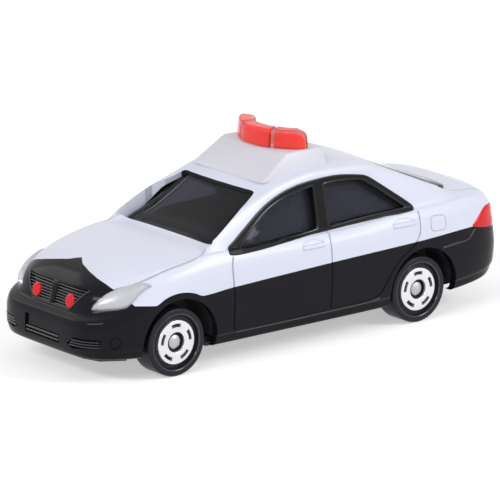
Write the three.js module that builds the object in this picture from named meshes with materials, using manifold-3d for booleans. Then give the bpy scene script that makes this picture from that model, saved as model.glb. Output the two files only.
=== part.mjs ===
// A die-cast toy patrol saloon, about 1:63, as the pieces that it is put together from: a zinc body
// shell riveted to a plastic base, one window moulding, an interior tub, a roof box with a red light
// bar, and two axles that turn under leaf springs.
// Millimetres. The nose points to -X, the left side to -Y, the road is z = 0.
import * as THREE from "three";
import { mergeVertices } from "three/addons/utils/BufferGeometryUtils.js";
import Module from "manifold-3d";

const wasm = await Module();
wasm.setup();

// Overall sizes
const LENGTH = 77;
const WIDTH = 28.4;
const ROOF_HEIGHT = 25.7;
const SILL_HEIGHT = 3.3;
const CREST_HEIGHT = 16.2;

// Running gear
const FRONT_OVERHANG = 14.1;
const REAR_OVERHANG = 17.7;
const WHEEL_RADIUS = 5.05;
const WHEEL_WIDTH = 4;
const WHEEL_INSET = 0.75;
const TYRE_SHOULDER = 0.2;
const RIM_RADIUS = 3.95;
const GROOVE_RADIUS = 3.35;
const GROOVE_DEPTH = 0.5;
const DISC_SINK = 0.15;
const HUB_RADIUS = 1.5;
const HUB_SINK = 0.9;
const SLOT_COUNT = 5;
const SLOT_RING = 2.4;
const SLOT_LENGTH = 1.6;
const SLOT_HEIGHT = 0.45;
const SLOT_DEPTH = 0.5;
const AXLE_RADIUS = 0.75;
const AXLE_HEAD_RADIUS = 1;
const AXLE_HEAD_LENGTH = 0.6;
const PRESS_GAP = 0.05;
const SPRING_TRAVEL = 1;
const ARCH_CLEARANCE = 0.35;
const ARCH_SETBACK = 0.5;
const BODY_SEAT_GAP = 0.3;

// Leaf springs
const LEAF_LENGTH = 11.5;
const LEAF_WIDTH = 7;
const LEAF_THICKNESS = 0.5;
const LEAF_TIP = 1.6;
const LEAF_TAIL = 2.2;
const LEAF_GAP = 0.1;
const STAKE_RADIUS = 0.9;
const STAKE_HEAD_RADIUS = 1.7;
const STAKE_HEAD_HEIGHT = 0.5;
const STAKE_PLAY = 0.35;

// Walls and fits
const WALL = 1.1;
const CABIN_WALL = 0.75;
const GLASS_WALL = 0.7;
const TUB_WALL = 1;
const FIT = 0.2;
const FACET_MERGE = 0.012;

// Cabin
const COWL_SETBACK = 7.8;
const CABIN_SPREAD = 1.8;
const PILLAR_FOOT = 9.2;
const PILLAR_BOW = 3;
const BELT_INSET = 2;
const TUMBLEHOME = 2.3;
const SCREEN_RUN = 10.2;
const BACKLIGHT_RUN = 15.2;
const BACKLIGHT_FOOT = 0.6;
const BACKLIGHT_BOW = 1.15;
const ROOF_CROWN = 0.5;
const HEADER_DROP = 2;
const HEADER_RISE = 1.05;
const ROOF_TAIL_DROP = 0.8;
const RAIL_DROP = 0.1;
const RAIL_ROUND = 0.9;
const PILLAR_B_OFFSET = 3;
const PILLAR_B_WIDTH = 1.7;
const SIDE_WINDOW_RISE = 0.4;
const SIDE_WINDOW_DROP = 2.6;
const REAR_WINDOW_SETBACK = 10.85;

// Base plate
const BASE_BOTTOM = 2.9;
const BASE_THICKNESS = 1.4;
const REAR_KICK = 1.2;
const WELL_GAP = 0.6;
const BRACKET_LENGTH = 4.4;
const BRACKET_WIDTH = 1.8;
const BRACKET_RISE = 1.5;
const AXLE_PLAY = 0.25;

// Rivet posts
const FRONT_POST_SETBACK = 5.6;
const REAR_POST_SETBACK = 5.4;
const POST_RADIUS = 1.9;
const STUD_RADIUS = 1.1;
const RIVET_RADIUS = 1.8;
const RIVET_THICKNESS = 0.45;
const RIVET_SINK = 0.7;

// Interior tub
const TUB_FRONT_SETBACK = 4;
const TUB_REAR_SETBACK = 16;
const SHELF_SETBACK = 4.9;
const TUB_HALF_WIDTH = 10.3;
const SHELF_HALF_WIDTH = 8.2;
const TUB_RIM_Z = 15.2;
const SEAT_WIDTH = 6.2;
const SEAT_CENTRE = 4.6;
const SEAT_PILLAR_GAP = 2.1;
const SEAT_LENGTH = 7.2;
const SEAT_Z = 12.4;
const SEAT_BACK_Z = 19.2;
const BENCH_LENGTH = 8;
const HEADREST_Z = 21.2;
const STEERING_RADIUS = 1.9;
const STEERING_TUBE = 0.28;
const STEERING_LEAN = 1.1;

// Roof box and light bar
const BOX_SETBACK = 1.9;
const BOX_LENGTH = 12.1;
const BOX_SKIRT = 0.7;
const BOX_HALF_WIDTH = 8.3;
const BOX_FRONT_SLOPE = 5;
const BOX_REAR_SLOPE = 0.4;
const BOX_TOP_HALF_WIDTH = 7.1;
const BOX_HEIGHT = 2.2;
const BOX_EDGE = 0.3;
const BOX_LIP_HEIGHT = 0.2;
const BOX_FOOT = 1.6;
const PEG_RADIUS = 0.9;
const PEG_SPREAD = 4;
const BAR_END_LENGTH = 5.7;
const BAR_DEPTH = 2.4;
const BAR_HEIGHT = 2.7;
const BAR_SEAM = 3.6;
const BAR_SWEEP = 0.625;
const BAR_NOTCH = 0.45;
const BAR_NOTCH_WIDTH = 0.35;
const BAR_END_ROUND = 1.2;

// Details cast in the shell
const LAMP_HEADING = 0.88;
const LAMP_BULGE = 0.5;
const TAIL_LAMP_BULGE = 0.15;
const TAIL_LAMP_WIDTH = 4.6;
const BUMPER_STEP = 0.12;
const GRILLE_DEPTH = 0.45;
const GRILLE_TOP_HALF = 7.1;
const GRILLE_LOW_HALF = 4.3;
const GRILLE_TOP_Z = 13.2;
const GRILLE_LOW_Z = 10.1;
const GRILLE_BARS = 5;
const GRILLE_BAR_HEIGHT = 0.24;
const GRILLE_PILLAR_WIDTH = 1.2;
const SPOT_RADIUS = 0.85;
const SPOT_SPREAD = 4;
const SPOT_Z = 11.3;
const PLATE_HALF = 4.1;
const PLATE_LOW_Z = 5.4;
const PLATE_TOP_Z = 8.3;
const PLATE_DEPTH = 0.3;
const INTAKE_DEPTH = 0.4;
const INTAKE_BARS = 2;
const HANDLE_LENGTH = 4.2;
const HANDLE_HEIGHT = 1;
const HANDLE_BULGE = 0.3;
const FRONT_HANDLE_OFFSET = 3;
const REAR_HANDLE_OFFSET = 3;
const FLAP_OFFSET = 3.4;
const FLAP_SIZE = 2.6;
const FLAP_BULGE = 0.12;

// Places that follow from the sizes above
const NOSE_X = -LENGTH / 2;
const TAIL_X = LENGTH / 2;
const FRONT_AXLE_X = NOSE_X + FRONT_OVERHANG;
const REAR_AXLE_X = TAIL_X - REAR_OVERHANG;
const CABIN_LENGTH = REAR_AXLE_X - FRONT_AXLE_X + CABIN_SPREAD;
const AXLE_Z = WHEEL_RADIUS;
const WHEEL_FACE_Y = WIDTH / 2 - WHEEL_INSET;
const ARCH_RADIUS = WHEEL_RADIUS + SPRING_TRAVEL + ARCH_CLEARANCE;
const BASE_TOP = BASE_BOTTOM + BASE_THICKNESS;
const LEAF_BOTTOM = AXLE_Z + AXLE_RADIUS + LEAF_GAP;
const LEAF_TOP = LEAF_BOTTOM + LEAF_THICKNESS;
const TUB_BOTTOM = LEAF_TOP + SPRING_TRAVEL + BODY_SEAT_GAP;
const COWL_X = FRONT_AXLE_X + COWL_SETBACK;
const CABIN_END_X = COWL_X + CABIN_LENGTH;
const CABIN_MIDDLE_X = (COWL_X + CABIN_END_X) / 2;
const BELT_HALF_WIDTH = WIDTH / 2 - BELT_INSET;
const ROOF_HALF_WIDTH = BELT_HALF_WIDTH - TUMBLEHOME;
const HEADER_X = COWL_X + SCREEN_RUN;
const ROOF_END_X = CABIN_END_X - BACKLIGHT_RUN;
const PILLAR_B_X = CABIN_MIDDLE_X - PILLAR_B_OFFSET;
const TUB_FRONT_X = COWL_X + TUB_FRONT_SETBACK;
const TUB_REAR_X = CABIN_END_X - TUB_REAR_SETBACK;
const SHELF_END_X = CABIN_END_X - SHELF_SETBACK;
const LEAF_ROOT_FRONT = FRONT_AXLE_X + LEAF_LENGTH;
const LEAF_ROOT_REAR = REAR_AXLE_X - LEAF_LENGTH;
const BOX_FRONT_X = HEADER_X + BOX_SETBACK;
const BOX_REAR_X = BOX_FRONT_X + BOX_LENGTH;
const BOX_TOP_FRONT_X = BOX_FRONT_X + BOX_FRONT_SLOPE;
const BOX_TOP_REAR_X = BOX_REAR_X - BOX_REAR_SLOPE;
const BOX_TOP = ROOF_HEIGHT + BOX_HEIGHT;
const BAR_FRONT_X = BOX_TOP_FRONT_X;
const FRONT_HANDLE_X = PILLAR_B_X - FRONT_HANDLE_OFFSET;
const REAR_HANDLE_X = REAR_AXLE_X - REAR_HANDLE_OFFSET;
const FLAP_X = REAR_AXLE_X + FLAP_OFFSET;

// Loops of the lower skin, from the tucked edge up to the shoulder. nose and tail are set back from the
// ends, inset from the side; heights are at the nose, front axle, cowl, middle, rear axle, boot and tail.
const LOWER_LOOPS = [
  { nose: 1.7, tail: 2.2, inset: 1.3, power: 5.7, base: SILL_HEIGHT, heights: [0.4, 0, 0, 0, 0.1, 0.8, 1.6] },
  { nose: 0.5, tail: 1, inset: 0.55, power: 5.7, base: SILL_HEIGHT, heights: [0.8, 0.4, 0.3, 0.3, 0.5, 1.2, 2] },
  { nose: 0.1, tail: 0.5, inset: 0.35, power: 5.7, base: SILL_HEIGHT, heights: [1.7, 1.5, 1.45, 1.45, 1.55, 2.2, 3] },
  { nose: 0, tail: 0.3, inset: 0.15, power: 5.7, base: SILL_HEIGHT, heights: [2.5, 1.9, 1.8, 1.8, 1.9, 2.7, 3.7] },
  { nose: 0.1, tail: 0.15, inset: 0, power: 5.7, base: SILL_HEIGHT, heights: [4.6, 5.1, 5.3, 5.3, 5.5, 5.8, 6.1] },
  { nose: 0.4, tail: 0.3, inset: 0.1, power: 5.5, base: CREST_HEIGHT, heights: [-7, -5, -4.7, -4.6, -4.2, -4.4, -5] },
  { nose: 1.55, tail: 0.6, inset: 0.35, power: 5, base: CREST_HEIGHT, heights: [-6.35, -3, -2.5, -2.4, -1.8, -1.9, -2.8] },
  { nose: 2.3, tail: 0.7, inset: 0.75, power: 4.5, base: CREST_HEIGHT, heights: [-4, -1.4, -0.9, -1, -0.3, -0.2, -1] },
  { nose: 3.2, tail: 1, inset: 1.5, power: 4.1, base: CREST_HEIGHT, heights: [-2.5, -0.3, 0.5, 0.1, 0.9, 1.05, 0] },
];
const BOOT_SETBACK = 5;
const LOWER_REAR_POWER = 7.5;
const CABIN_FRONT_POWER = 12.6;
const CABIN_REAR_POWER = 10.3;
const ROOF_POWER = 9;
const FOOT_FRONT_POWER = 6;
const FOOT_EDGE_POWER = 14;
const DECK_SHARES = [0.25, 0.55, 0.85];
const DECK_CROWN_POWER = 3.5;
const CABIN_SHARES = [0.33, 0.66, 1];

// Height of the bonnet, the deck under the cabin and the boot along the middle
const deckMiddle = curveThrough([
  [NOSE_X + 3.2, CREST_HEIGHT - 2.5],
  [NOSE_X + 4.8, CREST_HEIGHT - 1.3],
  [NOSE_X + 7.1, CREST_HEIGHT - 0.2],
  [FRONT_AXLE_X, CREST_HEIGHT + 0.6],
  [COWL_X, CREST_HEIGHT + 1.1],
  [CABIN_END_X, CREST_HEIGHT + 1.85],
  [TAIL_X - 4, CREST_HEIGHT + 2],
  [TAIL_X - 1, CREST_HEIGHT + 0.9],
]);

// Height of the roof along the middle
const roofMiddle = curveThrough([
  [HEADER_X, ROOF_HEIGHT - HEADER_DROP],
  [HEADER_X + 3.5, ROOF_HEIGHT - HEADER_DROP + HEADER_RISE],
  [CABIN_MIDDLE_X - 3, ROOF_HEIGHT],
  [CABIN_MIDDLE_X + 3, ROOF_HEIGHT - 0.2],
  [ROOF_END_X, ROOF_HEIGHT - ROOF_TAIL_DROP],
]);

// A smooth curve that keeps its stations' rises and falls: monotone cubic through [place, value] pairs
function curveThrough(stations) {
  const last = stations.length - 1;
  const secants = [];
  for (let i = 0; i < last; i += 1) {
    secants.push((stations[i + 1][1] - stations[i][1]) / (stations[i + 1][0] - stations[i][0]));
  }
  const slopes = stations.map((station, i) => {
    if (i === 0) return secants[0];
    if (i === last) return secants[last - 1];
    const product = secants[i - 1] * secants[i];
    return product <= 0 ? 0 : (2 * product) / (secants[i - 1] + secants[i]);
  });
  return (place) => {
    if (place <= stations[0][0]) return stations[0][1];
    if (place >= stations[last][0]) return stations[last][1];
    const i = stations.findIndex((station, k) => k < last && place <= stations[k + 1][0]);
    const span = stations[i + 1][0] - stations[i][0];
    const t = (place - stations[i][0]) / span;
    const rise = stations[i + 1][1] - stations[i][1];
    const bend = slopes[i] + slopes[i + 1] - (2 * rise) / span;
    const lift = (3 * rise) / span - 2 * slopes[i] - slopes[i + 1];
    return stations[i][1] + span * t * (slopes[i] + t * (lift + t * bend));
  };
}

// Geometry to solid and back

function solid(geometry) {
  const bare = geometry.index ? geometry.toNonIndexed() : geometry.clone();
  bare.deleteAttribute("normal");
  bare.deleteAttribute("uv");
  const merged = mergeVertices(bare, 1e-4);
  return new wasm.Manifold(new wasm.Mesh({
    numProp: 3,
    vertProperties: new Float32Array(merged.attributes.position.array),
    triVerts: new Uint32Array(merged.index.array),
  }));
}

function geometryOf(body) {
  const mesh = body.simplify(FACET_MERGE).getMesh();
  const geometry = new THREE.BufferGeometry();
  geometry.setAttribute("position", new THREE.BufferAttribute(new Float32Array(mesh.vertProperties), 3));
  geometry.setIndex(new THREE.BufferAttribute(new Uint32Array(mesh.triVerts), 1));
  const flat = geometry.toNonIndexed();
  flat.computeVertexNormals();
  return flat;
}

function join(bodies) {
  return bodies.reduce((whole, body) => whole.add(body));
}

function cut(body, cutters) {
  return cutters.reduce((rest, cutter) => rest.subtract(cutter), body);
}

// Rings of [x, y, z] points joined into a closed skin, with a fan to the middle of each end ring
function loft(rings) {
  const size = rings[0].length;
  const positions = rings.flat(2);
  const index = [];
  for (let k = 0; k + 1 < rings.length; k += 1) {
    for (let j = 0; j < size; j += 1) {
      const next = (j + 1) % size;
      index.push(k * size + j, k * size + next, (k + 1) * size + next);
      index.push(k * size + j, (k + 1) * size + next, (k + 1) * size + j);
    }
  }
  closeRing(rings[0], 0, positions, index, true);
  closeRing(rings[rings.length - 1], (rings.length - 1) * size, positions, index, false);
  const geometry = new THREE.BufferGeometry();
  geometry.setAttribute("position", new THREE.Float32BufferAttribute(positions, 3));
  geometry.setIndex(index);
  return solid(geometry);
}

function closeRing(ring, start, positions, index, first) {
  const middle = positions.length / 3;
  for (let axis = 0; axis < 3; axis += 1) {
    positions.push(ring.reduce((sum, point) => sum + point[axis], 0) / ring.length);
  }
  for (let j = 0; j < ring.length; j += 1) {
    const here = start + j;
    const next = start + ((j + 1) % ring.length);
    if (first) index.push(middle, next, here);
    else index.push(middle, here, next);
  }
}

// Prisms: an outline of [x, y], [x, z] or [y, z] points pushed along the third axis

function shapeOf(points) {
  return new THREE.Shape(points.map((point) => new THREE.Vector2(point[0], point[1])));
}

function prismZ(points, low, high) {
  const geometry = new THREE.ExtrudeGeometry(shapeOf(points), { depth: high - low, bevelEnabled: false });
  return solid(geometry.translate(0, 0, low));
}

function prismY(points, low, high) {
  const geometry = new THREE.ExtrudeGeometry(shapeOf(points), { depth: high - low, bevelEnabled: false });
  return solid(geometry.rotateX(Math.PI / 2).translate(0, high, 0));
}

function prismX(points, low, high) {
  const geometry = new THREE.ExtrudeGeometry(shapeOf(points), { depth: high - low, bevelEnabled: false });
  const turn = new THREE.Matrix4().makeBasis(
    new THREE.Vector3(0, 1, 0), new THREE.Vector3(0, 0, 1), new THREE.Vector3(1, 0, 0));
  return solid(geometry.applyMatrix4(turn).translate(low, 0, 0));
}

function block(xs, ys, zs) {
  const geometry = new THREE.BoxGeometry(xs[1] - xs[0], ys[1] - ys[0], zs[1] - zs[0]);
  return solid(geometry.translate((xs[0] + xs[1]) / 2, (ys[0] + ys[1]) / 2, (zs[0] + zs[1]) / 2));
}

function pillar(radius, x, y, low, high, sides = 16) {
  const geometry = new THREE.CylinderGeometry(radius, radius, high - low, sides);
  return solid(geometry.rotateX(Math.PI / 2).translate(x, y, (low + high) / 2));
}

function rod(radius, x, z, low, high, sides = 16) {
  const geometry = new THREE.CylinderGeometry(radius, radius, high - low, sides);
  return solid(geometry.translate(x, (low + high) / 2, z));
}

// Marks on a unit square, from the middle of the nose round the left side to the middle of the tail
function marksRound(front, side, rear) {
  const marks = [];
  for (let i = 0; i < front; i += 1) marks.push([-1, i / front]);
  for (let i = 0; i < side; i += 1) marks.push([(2 * i) / side - 1, 1]);
  for (let i = 0; i < rear; i += 1) marks.push([1, 1 - i / rear]);
  marks.push([1, 0]);
  return marks;
}

// Where a mark falls on a rounded loop in plan: [x, distance from the middle line]
function planPoint(mark, loop) {
  const power = mark[0] < 0 ? loop.frontPower : loop.rearPower;
  const reach = (Math.abs(mark[0]) ** power + mark[1] ** power) ** (-1 / power);
  const along = mark[0] * reach;
  const across = mark[1] * reach;
  const length = along < 0 ? loop.middle - loop.front : loop.rear - loop.middle;
  const foot = along < 0 ? (loop.foot ?? 0) * along ** FOOT_FRONT_POWER * across ** FOOT_EDGE_POWER : 0;
  return [loop.middle + along * length - foot, across * loop.halfWidth];
}

function halfWidthAt(x, loop) {
  const length = x < loop.middle ? loop.middle - loop.front : loop.rear - loop.middle;
  const power = x < loop.middle ? loop.frontPower : loop.rearPower;
  const share = Math.min(1, Math.abs(x - loop.middle) / length);
  return loop.halfWidth * (1 - share ** power) ** (1 / power);
}

function lowerLoop(sizes, inset) {
  return {
    front: NOSE_X + sizes.nose + inset,
    rear: TAIL_X - sizes.tail - inset,
    middle: 0,
    halfWidth: WIDTH / 2 - sizes.inset - inset,
    frontPower: sizes.power,
    rearPower: LOWER_REAR_POWER,
  };
}

function cabinLoop(share, inset) {
  return {
    front: COWL_X + share * SCREEN_RUN + inset,
    rear: ROOF_END_X + (BACKLIGHT_RUN + BACKLIGHT_FOOT) * (1 - share ** BACKLIGHT_BOW) - inset,
    middle: CABIN_MIDDLE_X,
    halfWidth: BELT_HALF_WIDTH - share * TUMBLEHOME - inset,
    frontPower: CABIN_FRONT_POWER + share * (ROOF_POWER - CABIN_FRONT_POWER),
    rearPower: CABIN_REAR_POWER + share * (ROOF_POWER - CABIN_REAR_POWER),
    foot: PILLAR_FOOT * (1 - share) * (1 + PILLAR_BOW * share),
  };
}

function lowerHeight(sizes) {
  const places = [NOSE_X + sizes.nose, FRONT_AXLE_X, COWL_X, CABIN_MIDDLE_X,
    REAR_AXLE_X, TAIL_X - BOOT_SETBACK, TAIL_X - sizes.tail];
  return curveThrough(places.map((place, i) => [place, sizes.base + sizes.heights[i]]));
}

const CREST = LOWER_LOOPS[LOWER_LOOPS.length - 1];
const crestHeight = lowerHeight(CREST);
const crestLoop = lowerLoop(CREST, 0);

function deckHeight(x, y) {
  const edge = halfWidthAt(x, crestLoop);
  const share = edge > 0 ? Math.min(1, y / edge) : 1;
  return deckMiddle(x) - (deckMiddle(x) - crestHeight(x)) * share ** DECK_CROWN_POWER;
}

function roofHeight(x, y) {
  return roofMiddle(x) - ROOF_CROWN * (y / ROOF_HALF_WIDTH) ** 2;
}

// Half loops of [x, y, z] with y counted from the middle line, opened out to both sides
function ringOf(half) {
  const left = half.map((point) => [point[0], -point[1], point[2]]);
  const right = half.slice(1, -1).reverse();
  return left.concat(right);
}

function cabinHalves(marks, inset, baseHeight) {
  const base = marks.map((mark) => planPoint(mark, cabinLoop(0, inset)));
  const halves = [base.map((point) => [point[0], point[1], baseHeight(point[0], point[1])])];
  for (const share of CABIN_SHARES) {
    const top = marks.map((mark) => planPoint(mark, cabinLoop(1, inset)));
    const plan = marks.map((mark) => planPoint(mark, cabinLoop(share, inset)));
    halves.push(plan.map((point, j) => {
      const low = deckHeight(base[j][0], base[j][1]) - inset;
      const high = roofHeight(top[j][0], top[j][1]) - RAIL_DROP - inset;
      return [point[0], point[1], low + share * (high - low)];
    }));
  }
  const rail = cabinLoop(1, inset);
  for (const shrink of [RAIL_ROUND, 2.5 * RAIL_ROUND, 6 * RAIL_ROUND]) {
    const loop = { ...rail, front: rail.front + shrink, rear: rail.rear - shrink,
      halfWidth: rail.halfWidth - shrink };
    const plan = marks.map((mark) => planPoint(mark, loop));
    halves.push(plan.map((point) => [point[0], point[1], roofHeight(point[0], point[1]) - inset]));
  }
  return halves;
}

// The whole outer skin, drawn in by an inset; a floor height carries its lowest loop straight down
function bodySkin(marks, inset, cabinInset, floor) {
  const halves = [];
  const step = marks === COARSE_MARKS ? 2 : 1;
  LOWER_LOOPS.filter((sizes, k) => k % step === 0).forEach((sizes, k) => {
    const height = lowerHeight(sizes);
    const drop = sizes === CREST ? inset : 0;
    const plan = marks.map((mark) => planPoint(mark, lowerLoop(sizes, inset)));
    if (k === 0 && floor !== undefined) halves.push(plan.map((point) => [point[0], point[1], floor]));
    halves.push(plan.map((point) => [point[0], point[1], height(point[0]) - drop]));
  });
  const crest = halves[halves.length - 1];
  const cabin = marks.map((mark) => planPoint(mark, cabinLoop(0, cabinInset)));
  for (const share of DECK_SHARES) {
    halves.push(crest.map((point, j) => {
      const x = point[0] + share * (cabin[j][0] - point[0]);
      const y = point[1] + share * (cabin[j][1] - point[1]);
      return [x, y, deckHeight(x, y) - inset];
    }));
  }
  halves.push(...cabinHalves(marks, cabinInset, (x, y) => deckHeight(x, y) - inset));
  return loft(halves.map(ringOf));
}

// The cabin alone, from a level edge up to the roof
function cabinSkin(marks, inset, bottom) {
  return loft(cabinHalves(marks, inset, () => bottom).map(ringOf));
}

const FINE_MARKS = marksRound(8, 20, 7);
const COARSE_MARKS = marksRound(4, 8, 4);

// Window openings, as outlines seen from the side or from above

function sideWindows() {
  const low = CREST_HEIGHT + SIDE_WINDOW_RISE;
  const high = ROOF_HEIGHT - SIDE_WINDOW_DROP;
  const front = PILLAR_B_X - PILLAR_B_WIDTH / 2;
  const rear = PILLAR_B_X + PILLAR_B_WIDTH / 2;
  const first = new THREE.Shape();
  first.moveTo(COWL_X + 4.2, low);
  first.lineTo(front, low + 0.4);
  first.lineTo(front, high);
  first.quadraticCurveTo(front - 6.5, high + 0.2, COWL_X + 4.2, low);
  const tip = CABIN_END_X - REAR_WINDOW_SETBACK;
  const second = new THREE.Shape();
  second.moveTo(rear, low + 0.4);
  second.lineTo(tip - 0.5, low + 0.9);
  second.quadraticCurveTo(tip, low + 0.9, tip - 0.5, low + 1.4);
  second.lineTo(tip - 5.8, high - 1.15);
  second.quadraticCurveTo(tip - 6.7, high - 0.3, tip - 8.2, high - 0.2);
  second.lineTo(rear, high);
  second.lineTo(rear, low + 0.4);
  return [first, second].map((shape) => shape.getPoints(6).slice(0, -1).map((p) => [p.x, p.y]));
}

function windscreen() {
  return [[COWL_X + 0.5, 0], [COWL_X + 0.8, 9.6], [COWL_X + 1.6, 10.5], [COWL_X + 2.6, 10.75],
    [HEADER_X - 2.6, 9.4], [HEADER_X - 0.3, 8.6], [HEADER_X + 0.4, 7.9], [HEADER_X + 0.5, 0]];
}

function backlight() {
  return [[CABIN_END_X - 0.5, 0], [CABIN_END_X - 0.9, 9], [ROOF_END_X + 0.8, 7.2], [ROOF_END_X + 0.8, 0]];
}

function mirrored(half) {
  return half.concat(half.slice(1, -1).reverse().map((point) => [point[0], -point[1]]));
}

// Cast details: pads stand on the skin and pockets go into it, each following its curve

function raised(prism, bulge) {
  return prism.intersect(bodySkin(FINE_MARKS, -bulge, -bulge));
}

function sunk(prism, depth) {
  return prism.subtract(bodySkin(FINE_MARKS, depth, depth));
}

// The headlamp's outline, in a plane that faces the car's corner, round a point on that corner
function headlamp(side) {
  const outline = new THREE.Shape();
  outline.moveTo(-4.2, -2.3);
  outline.quadraticCurveTo(-2.8, 0.9, 2.6, 1.2);
  outline.quadraticCurveTo(4.4, 1.2, 3.2, 0.4);
  outline.quadraticCurveTo(1.2, -1.6, 0.2, -1.9);
  outline.quadraticCurveTo(-1.4, -2.5, -4.2, -2.3);
  const depth = 6;
  const geometry = new THREE.ExtrudeGeometry(outline, { depth, bevelEnabled: false, curveSegments: 6 });
  const across = new THREE.Vector3(Math.sin(LAMP_HEADING), side * Math.cos(LAMP_HEADING), 0);
  const up = new THREE.Vector3(0, 0, 1);
  const out = across.clone().cross(up);
  geometry.translate(0, 0, -depth / 2).applyMatrix4(new THREE.Matrix4().makeBasis(across, up, out));
  return solid(geometry.translate(NOSE_X + 6.2, side * (WIDTH / 2 - 3), CREST_HEIGHT - 3));
}

function tailLamp(side) {
  const outline = [[TAIL_X - 6.9, CREST_HEIGHT - 3.1], [TAIL_X - 4, CREST_HEIGHT - 4], [TAIL_X + 1, CREST_HEIGHT - 4.3],
    [TAIL_X + 1, CREST_HEIGHT - 0.6], [TAIL_X - 3, CREST_HEIGHT - 0.8]];
  const inner = WIDTH / 2 - TAIL_LAMP_WIDTH;
  return side < 0 ? prismY(outline, -WIDTH, -inner) : prismY(outline, inner, WIDTH);
}

function rearBumper() {
  const start = REAR_AXLE_X + ARCH_SETBACK;
  const outline = [[start, CREST_HEIGHT - 5.6], [TAIL_X - 8.5, CREST_HEIGHT - 4.8], [TAIL_X - 7.1, CREST_HEIGHT - 4],
    [TAIL_X + 1, CREST_HEIGHT - 4.4], [TAIL_X + 1, 0], [start, 0]];
  return prismY(outline, -WIDTH, WIDTH);
}

function grillePocket() {
  const outline = [[-GRILLE_LOW_HALF, GRILLE_LOW_Z], [GRILLE_LOW_HALF, GRILLE_LOW_Z],
    [GRILLE_TOP_HALF, GRILLE_TOP_Z], [-GRILLE_TOP_HALF, GRILLE_TOP_Z]];
  const front = NOSE_X - 1;
  const back = NOSE_X + 6;
  const kept = [block([front, back], [-GRILLE_PILLAR_WIDTH / 2, GRILLE_PILLAR_WIDTH / 2], [0, ROOF_HEIGHT])];
  const pitch = (GRILLE_TOP_Z - GRILLE_LOW_Z) / (GRILLE_BARS + 1);
  for (let i = 1; i <= GRILLE_BARS; i += 1) {
    const z = GRILLE_LOW_Z + i * pitch;
    kept.push(block([front, back], [-WIDTH, WIDTH], [z - GRILLE_BAR_HEIGHT / 2, z + GRILLE_BAR_HEIGHT / 2]));
  }
  for (const side of [-1, 1]) {
    const disc = new THREE.CylinderGeometry(SPOT_RADIUS, SPOT_RADIUS, back - front, 16).rotateZ(Math.PI / 2);
    kept.push(solid(disc.translate((front + back) / 2, side * SPOT_SPREAD, SPOT_Z)));
  }
  return cut(prismX(outline, front, back), kept);
}

function platePocket() {
  return block([NOSE_X - 1, NOSE_X + 4], [-PLATE_HALF, PLATE_HALF], [PLATE_LOW_Z, PLATE_TOP_Z]);
}

function intakePocket(side) {
  const half = [[5.9, 5.9], [7, 5.4], [11, 5.7], [11.3, 7], [7.4, 7]];
  const outline = half.map((point) => [side * point[0], point[1]]);
  const bars = [];
  for (let i = 1; i <= INTAKE_BARS; i += 1) {
    const z = 5.5 + (1.5 * i) / (INTAKE_BARS + 1);
    bars.push(block([NOSE_X - 1, NOSE_X + 6], [-WIDTH, WIDTH], [z - 0.1, z + 0.1]));
  }
  return cut(prismX(side > 0 ? outline : outline.reverse(), NOSE_X - 1, NOSE_X + 6), bars);
}

function sidePad(x, z, length, height, side) {
  const pad = [[-0.5, -0.3], [-0.35, -0.5], [0.4, -0.5], [0.5, -0.2], [0.5, 0.5], [-0.2, 0.5], [-0.5, 0.1]];
  const outline = pad.map((point) => [x + point[0] * length, z + point[1] * height]);
  const inner = WIDTH / 2 - 3;
  return side < 0 ? prismY(outline, -WIDTH, -inner) : prismY(outline, inner, WIDTH);
}

function castDetails(skin) {
  const pads = [raised(rearBumper(), BUMPER_STEP)];
  const pockets = [sunk(grillePocket(), GRILLE_DEPTH), sunk(platePocket(), PLATE_DEPTH)];
  for (const side of [-1, 1]) {
    pads.push(raised(headlamp(side), LAMP_BULGE), raised(tailLamp(side), TAIL_LAMP_BULGE));
    pads.push(raised(sidePad(FRONT_HANDLE_X, CREST_HEIGHT - 0.9, HANDLE_LENGTH, HANDLE_HEIGHT, side), HANDLE_BULGE));
    pads.push(raised(sidePad(REAR_HANDLE_X, CREST_HEIGHT - 0.7, HANDLE_LENGTH, HANDLE_HEIGHT, side), HANDLE_BULGE));
    pockets.push(sunk(intakePocket(side), INTAKE_DEPTH));
  }
  pads.push(raised(sidePad(FLAP_X, CREST_HEIGHT - 1.5, FLAP_SIZE, FLAP_SIZE * 0.85, -1), FLAP_BULGE));
  return cut(join([skin, ...pads]), pockets);
}

function bodyShell() {
  const openings = [];
  for (const outline of sideWindows()) {
    openings.push(prismY(outline, -WIDTH, -ROOF_HALF_WIDTH + 3), prismY(outline, ROOF_HALF_WIDTH - 3, WIDTH));
  }
  openings.push(prismZ(mirrored(windscreen()), deckMiddle(COWL_X) + 0.1, ROOF_HEIGHT + 5));
  openings.push(prismZ(mirrored(backlight()), deckMiddle(CABIN_END_X) + 0.1, ROOF_HEIGHT + 5));
  for (const x of [FRONT_AXLE_X, REAR_AXLE_X]) {
    const inner = WIDTH / 2 - 5;
    openings.push(rod(ARCH_RADIUS, x + ARCH_SETBACK, AXLE_Z, -WIDTH, -inner, 40));
    openings.push(rod(ARCH_RADIUS, x + ARCH_SETBACK, AXLE_Z, inner, WIDTH, 40));
  }
  for (const side of [-1, 1]) {
    openings.push(pillar(PEG_RADIUS + FIT, pegX(), side * PEG_SPREAD, ROOF_HEIGHT - 4, ROOF_HEIGHT + 2));
  }
  const hollow = bodySkin(COARSE_MARKS, WALL, CABIN_WALL, BASE_BOTTOM - 3);
  const shell = cut(castDetails(bodySkin(FINE_MARKS, 0, 0)).subtract(hollow), openings);
  return join([shell, rivetPost(NOSE_X + FRONT_POST_SETBACK, 0), rivetPost(TAIL_X - REAR_POST_SETBACK, REAR_KICK)]);
}

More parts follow.
